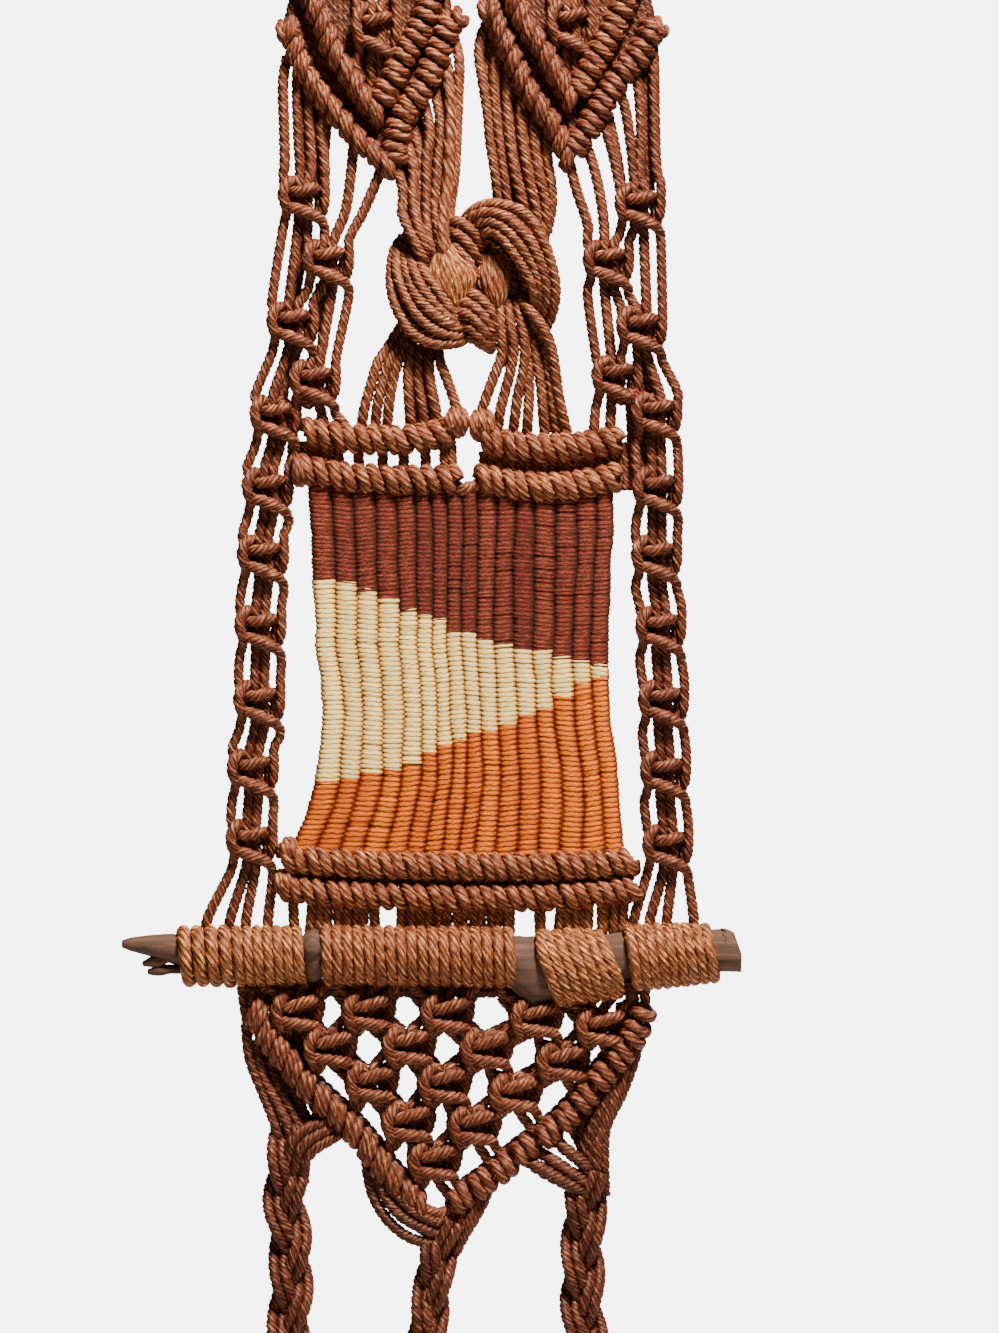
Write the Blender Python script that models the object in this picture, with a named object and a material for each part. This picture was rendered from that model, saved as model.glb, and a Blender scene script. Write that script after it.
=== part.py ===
"""Macrame wall hanging, with a woven panel and a driftwood stick.

Tables and sizes are in millimetres, and the meshes in metres. X runs to the right, Y away from the
viewer and Z up. The origin is the middle of the top edge, halfway through the thickness, so every
height is negative.
"""

import math
from collections import namedtuple

import bmesh
import bpy
from mathutils import Vector

MM = 0.001
FIT_GAP = 0.3

# Shells are shifted by this much, each another way, so that no two lie exactly flush before they fuse
NUDGE = 0.06

# The share of the facets that stays after two shells' meeting lines are thinned out
UPPER_SHARE = 0.48
LOWER_SHARE = 0.48

# The cord, and what it is knotted into
CORD = 4.8
STRAND_SIDES = 4
BAR_HEIGHT = 13.2
BAR_DEPTH = 13.0
BAR_SIDES = 6
BAR_FLAT = math.cos(math.pi / BAR_SIDES)
HITCH_WIDTH = 9.6
HITCH_VALLEY = 0.8
KNOT_SIDES = 6
KNOT_DEPTH = 13.0

# Straps: a heading bar, an inner and an outer V bar, and a square knot inside the V
HEADING_TOP = 0.0
Strap = namedtuple("Strap", "name left right outer_left outer_right inner_left inner_right knot")
STRAPS = [
    Strap(
        "left", -77.0, 2.0,
        [(-76, -34), (-70, -56), (-50, -81), (-29, -102)],
        [(0, -30), (-11, -51), (-24, -76), (-28, -102)],
        [(-71, -12), (-61, -38), (-49, -59), (-35, -77)],
        [(-7, -12), (-18, -40), (-27, -56), (-34, -77)],
        (-38.0, -39.0),
    ),
    Strap(
        "right", 8.0, 87.0,
        [(11, -27), (20, -48), (33, -71), (49, -96)],
        [(86, -31), (76, -51), (61, -72), (50, -96)],
        [(16, -12), (30, -38), (41, -58), (51, -74)],
        [(80, -12), (67, -34), (58, -53), (52, -74)],
        (46.5, -37.0),
    ),
]
STRAP_KNOT = (21.0, 21.0)
STRAP_CORDS = 6
STRAP_TOP_SPREAD = 44.0
STRAP_FOOT_SPREAD = 30.0
STRAP_FOOT_DROP = 34.0
STRAP_KNOT_SPREAD = 9.0
V_CORDS = (0.12, 0.4, 0.66, 0.97)
V_CORD_WIDTH = 7.0

# Side columns of square knots, from the top down
SIDE_KNOT = (18.5, 16.0)
SIDE_COLUMNS = {
    "left": [
        (-70.5, -113.5), (-60.0, -140.0), (-74.0, -167.5), (-65.5, -192.5), (-83.0, -208.5),
        (-86.0, -239.0), (-88.0, -268.5), (-89.0, -300.0), (-90.0, -332.0), (-92.0, -362.0),
        (-93.0, -393.0),
    ],
    "right": [
        (75.5, -115.5), (62.5, -140.5), (77.5, -169.5), (66.0, -190.5), (83.0, -208.5),
        (84.0, -239.0), (84.5, -269.0), (86.0, -300.0), (86.5, -332.0), (87.5, -362.0),
        (89.0, -394.0),
    ],
}
ALTERNATING = 5
SideLink = namedtuple("SideLink", "upper lower leaves enters")
SIDE_LINKS = [
    SideLink(0, 1, 1, -1), SideLink(0, 2, -1, -1), SideLink(1, 2, -1, 1), SideLink(1, 3, 1, 1),
    SideLink(2, 3, 1, -1), SideLink(2, 4, -1, -1), SideLink(3, 4, -1, 1),
]
SIDE_BOW = 2.6
KNOT_SHOULDER = 0.40
KNOT_CORE = 0.13
KNOT_ENTRY = 0.30
SINK = 5.0
CORE_WIDTH = 7.2


# Cords that leave a strap's outer V bar: their place along the bar, and x where they arrive
SIDE_FEEDS = {
    "left": [(0.05, -78.0), (0.26, -73.0), (0.42, -68.5), (0.56, -64.5), (0.80, -57.5), (0.93, -53.5)],
    "right": [(0.05, 83.0), (0.25, 77.5), (0.42, 72.5), (0.60, 68.0), (0.82, 60.5), (0.97, 56.5)],
}
SIDE_FEED_KNOTS = [0, 0, 0, 0, 1, 1]
CENTRE_FEEDS = {
    "left": [
        (0.08, -4.0), (0.20, -7.0), (0.32, -10.5), (0.44, -14.0), (0.56, -17.5), (0.68, -21.0),
        (0.82, -24.5), (0.95, -27.5),
    ],
    "right": [
        (0.08, 13.0), (0.22, 17.0), (0.38, 21.0), (0.54, 25.0), (0.70, 28.5), (0.84, 31.5), (0.97, 34.5),
    ],
}
CENTRE_FEED_END = -122.0
CENTRE_FEED_DEEP = {"left": 0.0, "right": 2.5}
CENTRE_FEED_BOW = {"left": 0.0, "right": -4.0}
BAR_FEEDS = {"left": [(-60, -55.5), (-66, -60.5)], "right": [(62, 57), (68, 62)]}
FAN_TOPS = [-6.5, -2.0, 2.0, 6.5]
FANS = {"left": [-111.0, -101.0, -93.5, -85.0], "right": [74.0, 82.0, 90.0, 101.5]}

# Upper and lower double bars, as x and z of the ends of each row
UPPER_ROWS = {
    "left": [((-68.5, -215.5), (-1.5, -217.0)), ((-71.0, -233.0), (-0.5, -236.5))],
    "right": [((6.5, -218.0), (70.5, -221.0)), ((4.5, -236.5), (70.0, -236.0))],
}
UPPER_SHORTS = {"left": [-67, -61, -46, -35.5, -26, -16, -6.5], "right": [9.5, 18, 27, 36, 45, 54, 63]}
UPPER_LEAN = 0.7
UPPER_LINK = [(-6.0, -236.3), (9.0, -236.6)]
UPPER_LINK_SIZE = 6.4
LOWER_ROWS = [((-80.0, -403.0), (77.0, -405.0)), ((-83.5, -415.0), (79.0, -416.6))]
LOWER_HEIGHT = 14.2
LOWER_SHORTS = 20
LOWER_SHORT_TOP = -416.0
LOWER_SHORT_SPREAD = (-79.0, 75.0)
SHORT_LEAN = 1.4

# Centre knot: each bundle is a flat run of cords side by side
Bundle = namedtuple("Bundle", "cords width route")
CENTRE_BUNDLES = [
    Bundle(3, 13, [(-22.5, 0, -112), (-22, -2, -122), (-18, -4, -134), (-12, 2, -147)]),
    Bundle(4, 17, [(-9, -1, -112), (-7, -3, -124), (-4, -7, -140), (1, -6, -157), (5, -1, -168)]),
    Bundle(
        3, 14, [(-6, 3, -117), (3, -2, -126), (9, -4, -139), (11, -4, -153), (10, -4, -164), (6, -2, -173)],
    ),
    Bundle(
        4, 17,
        [
            (-5, 1, -124), (4, -4, -121.5), (15, -8, -124), (26, -9, -133), (33, -8, -146), (36, -4, -159),
            (32, 2, -170),
        ],
    ),
    Bundle(
        4, 17,
        [(-20, 3, -130), (-25, -3, -141), (-22, -7, -155), (-12, -8, -167), (0, -6, -174), (12, 0, -175)],
    ),
    Bundle(5, 26, [(25, 3, -110), (23, 4, -126), (14, 4, -142), (2, 4, -156)]),
    Bundle(5, 22, [(-10, 4, -146), (-19, 4, -164), (-22, 2, -179)]),
    Bundle(5, 22, [(19, 2, -140), (25, 1, -156), (25, 0, -173)]),
]
CENTRE_FANS = {
    "left": [(-30, -43), (-26.5, -35), (-23, -27.5), (-19.5, -20), (-16, -12), (-13, -4.5)],
    "right": [(16, 8), (19.5, 15.5), (23, 23), (26.5, 30.5), (30, 38), (34, 47)],
}
FAN_TOP = -172.0

# Woven panel: x of the left and right edge at each height
PANEL_DEPTH = 8.6
PANEL_RIBS = 16
PANEL_SEAT = BAR_HEIGHT / 2 * BAR_FLAT + FIT_GAP
RIB_RELIEF = 1.5
PANEL_EDGES = [
    (-240.0, -66.0, 66.0), (-278.0, -64.5, 64.0), (-300.0, -64.0, 63.0), (-330.0, -61.0, 63.0),
    (-360.0, -60.5, 66.5), (-380.0, -64.5, 68.5), (-400.0, -73.0, 70.0),
]
CREAM_TOP = [(-66.0, -279.0), (-10.0, -296.0), (66.0, -316.0)]
CREAM_BOTTOM = [(-66.0, -367.0), (-10.0, -349.0), (66.0, -319.5)]
MAROON_ROWS = 4
CREAM_ROWS = 3
ORANGE_ROWS = 3

# Driftwood stick: x, z of the middle, half height and half depth of each section
Section = namedtuple("Section", "x z high deep")
STICK = [
    Section(-147.5, -437.0, 1.2, 2.0),
    Section(-138.0, -439.5, 4.0, 4.4),
    Section(-127.0, -441.5, 6.6, 6.4),
    Section(-112.0, -441.8, 7.8, 7.4),
    Section(-66.0, -441.8, 8.3, 8.0),
    Section(-20.0, -442.2, 8.2, 8.2),
    Section(32.0, -443.0, 9.0, 8.6),
    Section(70.0, -442.6, 9.0, 8.6),
    Section(104.0, -441.0, 9.0, 8.4),
    Section(116.0, -440.6, 9.2, 8.2),
    Section(121.5, -440.2, 7.2, 6.6),
]
STICK_SIDES = 10
BORE_GAP = 0.35

# Hitches round the stick: first and last x, number of turns shown, and how far the lower side sags
Hitches = namedtuple("Hitches", "start end turns sag")
STICK_HITCHES = [
    Hitches(-124.0, -67.5, 7, 0.0),
    Hitches(-62.0, 25.0, 11, 0.5),
    Hitches(31.0, 70.0, 5, 3.5),
    Hitches(72.0, 112.0, 5, 0.5),
]
SLEEVE_CREST = 5.0
SLEEVE_VALLEY = 3.6
SLEEVE_SIDES = 8
SLEEVE_FLAT = math.cos(math.pi / SLEEVE_SIDES)

# Net of square knots under the stick: its rows, left to right, and which rows keep their ridges
NET_KNOT = (18.5, 14.5)
NET_DEPTH = 12.0
NET_ROWS = [
    [(-73.0, -467.5), (-42.0, -467.0), (-8.0, -468.0), (31.0, -470.0), (59.0, -473.0)],
    [(-58.5, -482.5), (-24.5, -482.0), (9.5, -483.0), (43.0, -488.0)],
    [(-41.0, -498.5), (-8.5, -498.0), (22.0, -502.0)],
    [(-24.5, -514.5), (4.5, -516.5)],
    [(-13.0, -531.5)],
]
RIDGED_ROWS = (1, 2, 4)
NET_PAIR_WIDTH = 7.6
NET_STEP = 4.2
NET_FEED_STEP = 8.0
EDGE_STEPS = 41
EDGE_DROP = 6.0
EDGE_FEED_SIZE = 9.0
NET_FEED_TOP = -450.0
NET_V = [
    [(-88, -470), (-75, -488), (-57, -508), (-40, -527), (-24, -545), (-12.5, -553)],
    [(76, -476), (63, -491), (46, -511), (26, -526.5), (6, -543), (-10.5, -553)],
]
NET_V_HEIGHT = 12.0
EDGE_FEEDS = [[(-93, -450), (-89, -463), (-86, -474)], [(84, -450), (80, -466), (75, -478)]]

# Braids: their middle line, half width, and the bundles that feed them
Braid = namedtuple("Braid", "name route reach feeds")
BRAIDS = [
    Braid(
        "left", [(-75, -524), (-76, -545), (-74.5, -570), (-74, -600), (-75, -638)], 5.6,
        [
            (3, 12, [(-89, 0, -466), (-89, 1, -488), (-84, 1, -510), (-76, 0, -532)]),
            (3, 12, [(-52, 0, -512), (-62, -2, -515), (-71, -2, -522), (-76, 0, -534)]),
        ],
    ),
    Braid(
        "middle", [(-10, -562), (-13, -580), (-14, -600), (-16, -630), (-15, -664)], 5.0,
        [
            (3, 12, [(-36, 0, -532), (-33, -1, -547), (-24, -1, -560), (-12, 0, -571)]),
            (3, 12, [(10, 0, -542), (5, -1, -556), (-2, -1, -564), (-10, 0, -574)]),
        ],
    ),
    Braid(
        "right", [(53, -541), (55.5, -560), (53, -582), (53.5, -604), (54, -638)], 5.6,
        [
            (4, 16, [(76, 0, -474), (71, 1, -496), (65, 1, -518), (56, 0, -552)]),
            (3, 12, [(28, 0, -525), (37, -2, -534), (47, -2, -542), (53, 0, -552)]),
        ],
    ),
]
BRAID_PERIOD = 78.0
BRAID_SWING = 3.0
BRAID_STEPS = 5
BRAID_STRAND = 4.5
BRAID_SIDES = 5
END_KNOT = (23.0, 19.0, 19.0)
TASSEL_STRANDS = 6
TASSEL_LENGTH = 38.0
TASSEL_ROOT = 5.0
TASSEL_SPREAD = 11.0
TASSEL_BELLY = 1.5
TASSEL_UNEVEN = 3.0
TASSEL_FLATNESS = 0.55
TASSEL_TURN = 0.3

# Finish of each kind of piece: colour, roughness
FINISH = {
    "rust_cord": ((0.39, 0.15, 0.06), 0.62),
    "maroon_yarn": ((0.22, 0.045, 0.025), 0.85),
    "cream_yarn": ((0.83, 0.62, 0.33), 0.85),
    "orange_yarn": ((0.68, 0.21, 0.03), 0.85),
    "driftwood": ((0.16, 0.085, 0.05), 0.8),
}


RIGHT = Vector((1, 0, 0))
BACK = Vector((0, 1, 0))
UP = Vector((0, 0, 1))


def at(x, z, y=0.0):
    """A point, from its place across the hanging, its height and its depth."""
    return Vector((x, y, z))


def clear_scene():
    """Empties the scene."""
    for thing in list(bpy.data.objects):
        bpy.data.objects.remove(thing, do_unlink=True)


def finish(name):
    """The material of one kind of piece."""
    colour, roughness = FINISH[name]
    material = bpy.data.materials.new(name)
    material.use_nodes = True
    shader = material.node_tree.nodes["Principled BSDF"]
    shader.inputs["Base Color"].default_value = (*colour, 1.0)
    shader.inputs["Roughness"].default_value = roughness
    shader.inputs["Metallic"].default_value = 0.0
    return material


# Closed shells. A shell is a list of rings of points, each ring the same length.


def ring(centre, across, deep, half_width, half_depth, sides, turn=0.0):
    """An oval of points round a centre."""
    angles = [turn + math.tau * k / sides for k in range(sides)]
    return [centre + across * half_width * math.cos(a) + deep * half_depth * math.sin(a) for a in angles]


def smooth_route(points, steps):
    """A smooth curve through the points, with a number of steps between each two."""
    route = []
    for i in range(len(points) - 1):
        before = points[max(i - 1, 0)]
        start, end = points[i], points[i + 1]
        after = points[min(i + 2, len(points) - 1)]
        for k in range(steps):
            t = k / steps
            pull = (end - before) * t + (before * 2 - start * 5 + end * 4 - after) * t * t
            route.append(start + (pull + (start * 3 - before - end * 3 + after) * t ** 3) * 0.5)
    route.append(points[-1])
    return route


def even_route(points, count):
    """Points along a smooth curve, the same distance apart."""
    fine = smooth_route(points, 12)
    lengths = [0.0]
    for a, b in zip(fine, fine[1:]):
        lengths.append(lengths[-1] + (b - a).length)
    route = []
    i = 0
    for k in range(count):
        goal = lengths[-1] * k / (count - 1)
        while i < len(fine) - 2 and lengths[i + 1] < goal:
            i += 1
        t = (goal - lengths[i]) / (lengths[i + 1] - lengths[i])
        route.append(fine[i].lerp(fine[i + 1], t))
    return route


def tangents(route):
    """The direction of the route at each of its points."""
    last = len(route) - 1
    return [(route[min(i + 1, last)] - route[max(i - 1, 0)]).normalized() for i in range(last + 1)]


def frames(route):
    """Side and depth directions at each point, with the side kept in the plane of the hanging."""
    result = []
    for ahead in tangents(route):
        side = ahead.cross(BACK).normalized()
        result.append((side, side.cross(ahead)))
    return result


def along(corners, share):
    """The point at a share of the length of a curve in the hanging's middle plane."""
    return even_route(flat(corners), 101)[round(share * 100)]


def flat(points):
    """Points of the hanging's middle plane, from x and z."""
    return [at(x, z) for x, z in points]


def strand(points, thickness=CORD, width=None, sides=STRAND_SIDES):
    """One cord along the points, or a flat run of cord if a width is given."""
    wide = (width or thickness) / 2
    rings = []
    for point, (side, deep) in zip(points, frames(points)):
        rings.append(ring(point, side, deep, wide, thickness / 2, sides))
    return rings


def bowed(start, end, bow):
    """A strand between two points that bends sideways in its middle."""
    middle = (start + end) / 2
    middle.x += bow
    return strand([start, middle, end])


def bundle(cords, width, points, thickness=CORD):
    """Cords side by side along the points, as one ridged run."""
    rings = []
    half = width / 2
    for point, (side, deep) in zip(points, frames(points)):
        section = [point - side * half]
        for face in (1, -1):
            order = range(2 * cords - 1)
            for k in order if face == 1 else reversed(order):
                crest = k % 2 == 0
                across = (k + 1) / (2 * cords) * width - half
                lift = thickness / 2 * (1.0 if crest else 0.42)
                section.append(point + side * across + deep * lift * face)
            if face == 1:
                section.append(point + side * half)
        rings.append(section)
    return rings


def bar(points, height=BAR_HEIGHT, depth=BAR_DEPTH, pitch=HITCH_WIDTH, plain=False):
    """A bar of hitches: a ridge for each hitch."""
    corners = flat(points)
    length = sum((b - a).length for a, b in zip(corners, corners[1:]))
    hitches = 1 if plain else max(2, round(length / pitch))
    route = even_route(corners, 2 * hitches + 1)
    rings = []
    for i, (point, (side, deep)) in enumerate(zip(route, frames(route))):
        size = 1.0 if i % 2 or plain else HITCH_VALLEY
        rings.append(ring(point, deep, side, depth / 2 * size, height / 2 * size, BAR_SIDES))
    return rings


# A square knot's sections: share of its height, of its width and of its depth
KNOT_END = 0.62
KNOT_GROOVE = (0.80, 0.72)
KNOT_BAND = 0.25
KNOT_PROFILE = [
    (0.5, KNOT_END, KNOT_END), (KNOT_BAND, 1.0, 1.0), (0.0, *KNOT_GROOVE), (-KNOT_BAND, 1.0, 1.0),
    (-0.5, KNOT_END, KNOT_END),
]
LUMP_PROFILE = [(0.5, KNOT_END, KNOT_END), (0.0, 1.0, 1.0), (-0.5, KNOT_END, KNOT_END)]


def knot(place, size, depth=KNOT_DEPTH, profile=KNOT_PROFILE):
    """A square knot: two bands across its cords, with a groove between them."""
    width, height = size
    x, z = place
    rings = []
    for share, wide, deep in profile:
        centre = at(x, z + share * height)
        rings.append(ring(centre, RIGHT, BACK, wide * width / 2, deep * depth / 2, KNOT_SIDES))
    return rings


# Meshes and solids


def add_cap(shell, row):
    """Closes the end of a shell with a strip of facets from one side of the ring to the other."""
    count = len(row)
    for i in range(count // 2):
        corners = [row[i], row[i + 1], row[count - i - 1], row[(count - i) % count]]
        shell.faces.new(list(dict.fromkeys(corners)))


def add_shell(mesh, rings):
    """Adds one closed shell to a bmesh, in metres, with its faces pointing out."""
    shell = bmesh.new()
    rows = [[shell.verts.new(point * MM) for point in section] for section in rings]
    for upper, lower in zip(rows, rows[1:]):
        for i in range(len(upper)):
            j = (i + 1) % len(upper)
            shell.faces.new((upper[i], upper[j], lower[j], lower[i]))
    add_cap(shell, rows[0][::-1])
    add_cap(shell, rows[-1])
    bmesh.ops.triangulate(shell, faces=shell.faces[:])
    if shell.calc_volume(signed=True) < 0:
        bmesh.ops.reverse_faces(shell, faces=shell.faces[:])
    copied = {v: mesh.verts.new(v.co) for v in shell.verts}
    for face in shell.faces:
        mesh.faces.new([copied[v] for v in face.verts])
    shell.free()


def make_object(name, shells, material=None):
    """An object of one or more closed shells."""
    mesh = bmesh.new()
    for rings in shells:
        add_shell(mesh, rings)
    data = bpy.data.meshes.new(name)
    mesh.to_mesh(data)
    mesh.free()
    if material:
        data.materials.append(material)
    thing = bpy.data.objects.new(name, data)
    bpy.context.scene.collection.objects.link(thing)
    return thing


def hide_tool(thing):
    """Marks an object that only shapes another."""
    thing.hide_render = True
    thing.display_type = "WIRE"


def combine(thing, tool, operation, itself=False):
    """A Boolean of one object with another."""
    hide_tool(tool)
    step = thing.modifiers.new(operation.lower(), "BOOLEAN")
    step.solver = "EXACT"
    step.operation = operation
    step.object = tool
    step.use_self = itself


def islands(mesh):
    """The faces of a bmesh in groups that share no point."""
    left = set(mesh.faces)
    groups = []
    while left:
        group = {left.pop()}
        front = list(group)
        while front:
            face = front.pop()
            for vert in face.verts:
                for other in vert.link_faces:
                    if other in left:
                        left.discard(other)
                        group.add(other)
                        front.append(other)
        groups.append(group)
    return groups


def signed_volume(faces):
    """Six times the volume that the faces close off, below zero for a pocket inside a solid."""
    total = 0.0
    for face in faces:
        corners = [vert.co for vert in face.verts]
        for b, c in zip(corners[1:], corners[2:]):
            total += corners[0].dot(b.cross(c))
    return total


def settle(thing):
    """Turns an object's Booleans into its mesh, and fills the pockets that its cords close off."""
    graph = bpy.context.evaluated_depsgraph_get()
    data = bpy.data.meshes.new_from_object(thing.evaluated_get(graph))
    thing.modifiers.clear()
    mesh = bmesh.new()
    mesh.from_mesh(data)
    for group in islands(mesh):
        if signed_volume(group) < 0:
            bmesh.ops.delete(mesh, geom=list(group), context="FACES")
    bmesh.ops.triangulate(mesh, faces=mesh.faces[:])
    mesh.to_mesh(data)
    mesh.free()
    thing.data = data


def thin_out(thing, share):
    """Collapses the smallest facets, most of them where two cords meet, to a share of them all."""
    step = thing.modifiers.new("thin_out", "DECIMATE")
    step.ratio = share
    settle(thing)


def fused(name, shells, material, share, tool=None):
    """One solid from many shells that run into each other, less the shape of a tool."""
    for k, rings in enumerate(shells):
        nudge = Vector((math.sin(1.7 * k), math.sin(2.3 * k + 1), math.sin(3.1 * k + 2))) * NUDGE
        shells[k] = [[point + nudge for point in section] for section in rings]
    thing = make_object(name, shells[1:], material)
    seed = make_object(name + "_seed", shells[:1])
    combine(thing, seed, "UNION", itself=True)
    settle(thing)
    thin_out(thing, share)
    if tool:
        combine(thing, tool, "DIFFERENCE")
        settle(thing)
    return thing


# Parts of the knotwork, each a list of shells


def strap_shells(strap):
    """Heading bar, two V bars, the square knot between them and the cords that feed them."""
    middle = HEADING_TOP - BAR_HEIGHT / 2 * BAR_FLAT
    shells = [bar([(strap.left, middle), (strap.right, middle)], plain=True)]
    for route in (strap.outer_left, strap.outer_right, strap.inner_left, strap.inner_right):
        shells.append(bar(route, height=11.6))
    shells.append(knot(strap.knot, STRAP_KNOT))
    x, z = strap.knot
    for k in range(STRAP_CORDS):
        offset = (k + 0.5) / STRAP_CORDS - 0.5
        spread = offset * STRAP_TOP_SPREAD
        shells.append(strand([at(x + spread, middle), at(x + spread * (0.3 + abs(offset)), z)]))
        foot = at(x + offset * STRAP_FOOT_SPREAD, z - STRAP_FOOT_DROP * (1 - abs(offset)))
        shells.append(strand([at(x + offset * STRAP_KNOT_SPREAD, z), foot]))
    for inner, outer in ((strap.inner_left, strap.outer_left), (strap.inner_right, strap.outer_right)):
        for share in V_CORDS:
            shells.append(strand([along(inner, share), along(outer, share)], CORD, V_CORD_WIDTH))
    return shells


def feed_shells(strap):
    """The cords that leave the outer V bar, to the side column and to the centre knot."""
    shells = []
    outside, inside = strap.outer_left, strap.outer_right
    if strap.name == "right":
        outside, inside = inside, outside
    column = SIDE_COLUMNS[strap.name]
    for (share, x), number in zip(SIDE_FEEDS[strap.name], SIDE_FEED_KNOTS):
        shells.append(strand([along(outside, share), at(x, column[number][1] + SINK)]))
    deep = CENTRE_FEED_DEEP[strap.name]
    for share, x in CENTRE_FEEDS[strap.name]:
        end = at(x, CENTRE_FEED_END, deep)
        shells.append(bowed(along(inside, share), end, CENTRE_FEED_BOW[strap.name] * (1 - share)))
    return shells


def knot_port(place, size, side, outer, top):
    """Where a cord enters or leaves a square knot: at its shoulder, or at its core."""
    x, z = place
    width, height = size
    reach = KNOT_SHOULDER if outer else KNOT_CORE
    return at(x + side * reach * width, z + (KNOT_ENTRY if top else -KNOT_ENTRY) * height)


def side_shells(side):
    """A side column: its knots, and the cords from the strap to the stick."""
    column = SIDE_COLUMNS[side]
    out = -1 if side == "left" else 1
    shells = [knot(place, SIDE_KNOT) for place in column]
    for link in SIDE_LINKS:
        for outer in (True, False):
            start = knot_port(column[link.upper], SIDE_KNOT, link.leaves * -out, outer, False)
            end = knot_port(column[link.lower], SIDE_KNOT, link.enters * -out, outer, True)
            shells.append(strand([start, end]))
    for first, second in zip(column[ALTERNATING - 1:], column[ALTERNATING:]):
        for edge in (-1, 1):
            start = knot_port(first, SIDE_KNOT, edge, True, False)
            end = knot_port(second, SIDE_KNOT, edge, True, True)
            shells.append(bowed(start, end, edge * SIDE_BOW))
        core = [at(first[0], first[1] - SINK), at(second[0], second[1] + SINK)]
        shells.append(strand(core, CORD, CORE_WIDTH))
    knot_height = column[ALTERNATING - 2][1]
    bar_height = UPPER_ROWS[side][0][0][1]
    for x, x_low in BAR_FEEDS[side]:
        shells.append(strand([at(x, knot_height - SINK), at(x_low, bar_height)]))
    last_x, last_z = column[-1]
    for offset, x_low in zip(FAN_TOPS, FANS[side]):
        low = at(x_low, sleeve_top(x_low) + FIT_GAP)
        shells.append(strand([at(last_x + offset, last_z - SINK), low]))
    return shells


def centre_shells():
    """The big knot in the middle, where both straps' inner cords pass through each other."""
    shells = []
    for cords, width, route in CENTRE_BUNDLES:
        shells.append(bundle(cords, width, [Vector(point) for point in route]))
    for side, fan in CENTRE_FANS.items():
        bar_height = UPPER_ROWS[side][0][0][1]
        for x, x_low in fan:
            shells.append(strand([at(x, FAN_TOP), at(x_low, bar_height)]))
    return shells


def upper_bar_shells():
    """Two double bars over the panel, with the short cords between their rows."""
    shells = []
    for side, rows in UPPER_ROWS.items():
        for ends in rows:
            shells.append(bar(ends))
        for x in UPPER_SHORTS[side]:
            shells.append(strand([at(x, rows[0][0][1]), at(x + UPPER_LEAN, rows[1][0][1])]))
    shells.append(strand(flat(UPPER_LINK), UPPER_LINK_SIZE))
    return shells


def lower_bar_shells():
    """The double bar under the panel, and the short cords from it to the stick."""
    shells = [bar(ends, height=LOWER_HEIGHT) for ends in LOWER_ROWS]
    first, last = LOWER_SHORT_SPREAD
    for k in range(LOWER_SHORTS):
        x = first + (last - first) * k / (LOWER_SHORTS - 1)
        x_low = x + (SHORT_LEAN if k % 3 else -SHORT_LEAN)
        shells.append(strand([at(x, LOWER_SHORT_TOP), at(x_low, sleeve_top(x_low) + FIT_GAP)]))
    return shells


def section_at(x):
    """The stick's section at a place along it."""
    for a, b in zip(STICK, STICK[1:]):
        if a.x <= x <= b.x:
            t = (x - a.x) / (b.x - a.x)
            return Section(x, *(p + (q - p) * t for p, q in zip(a[1:], b[1:])))
    return STICK[-1]


def sleeve_top(x):
    """The height of the top of the hitches over a place along the stick."""
    section = section_at(x)
    return section.z + (section.high + SLEEVE_CREST) * SLEEVE_FLAT


def sleeve_shells():
    """The hitches round the stick: a ridge for each cord."""
    shells = []
    for start, end, turns, sag in STICK_HITCHES:
        rings = []
        for i in range(2 * turns + 1):
            crest = i % 2 == 1
            wrap = SLEEVE_CREST if crest else SLEEVE_VALLEY
            section = section_at(start + (end - start) * i / (2 * turns))
            centre = at(section.x, section.z - sag / 2)
            high = section.high + wrap + sag / 2
            turn = math.pi / SLEEVE_SIDES
            rings.append(ring(centre, BACK, UP, section.deep + wrap, high, SLEEVE_SIDES, turn))
        shells.append(rings)
    return shells


def net_shells():
    """The net of square knots under the stick, with the V bar along its lower edges."""
    shells = []
    for r, row in enumerate(NET_ROWS):
        profile = KNOT_PROFILE if r in RIDGED_ROWS else LUMP_PROFILE
        for place in row:
            shells.append(knot(place, NET_KNOT, NET_DEPTH, profile))
    for x, z in NET_ROWS[0]:
        for side in (-1, 1):
            shells.append(net_pair(at(x + side * NET_FEED_STEP, NET_FEED_TOP), at(x + side * NET_STEP, z)))
    for upper, lower in zip(NET_ROWS, NET_ROWS[1:]):
        for i, (x, z) in enumerate(upper):
            for side, j in ((-1, i - 1), (1, i)):
                if 0 <= j < len(lower):
                    end = at(lower[j][0] - side * NET_STEP, lower[j][1])
                    shells.append(net_pair(at(x + side * NET_STEP, z), end))
    shells += net_edge_shells()
    for arm in NET_V:
        shells.append(bar(arm, height=NET_V_HEIGHT, depth=NET_V_HEIGHT))
    for route in EDGE_FEEDS:
        shells.append(strand(flat(route), EDGE_FEED_SIZE))
    return shells


def net_pair(start, end):
    """Two cords of the net side by side."""
    return strand([start, end], CORD, NET_PAIR_WIDTH)


def net_edge_shells():
    """The cords that leave the outer knots of each row and are taken into the V bar."""
    shells = []
    for row in NET_ROWS:
        for (x, z), side, arm in ((row[0], -1, NET_V[0]), (row[-1], 1, NET_V[1])):
            route = even_route(flat(arm), EDGE_STEPS)
            below = [p for p in route if p.z < z - EDGE_DROP and (p.x - x) * side > -NET_STEP]
            if below:
                shells.append(net_pair(at(x + side * NET_STEP, z), below[0]))
    return shells


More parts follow.
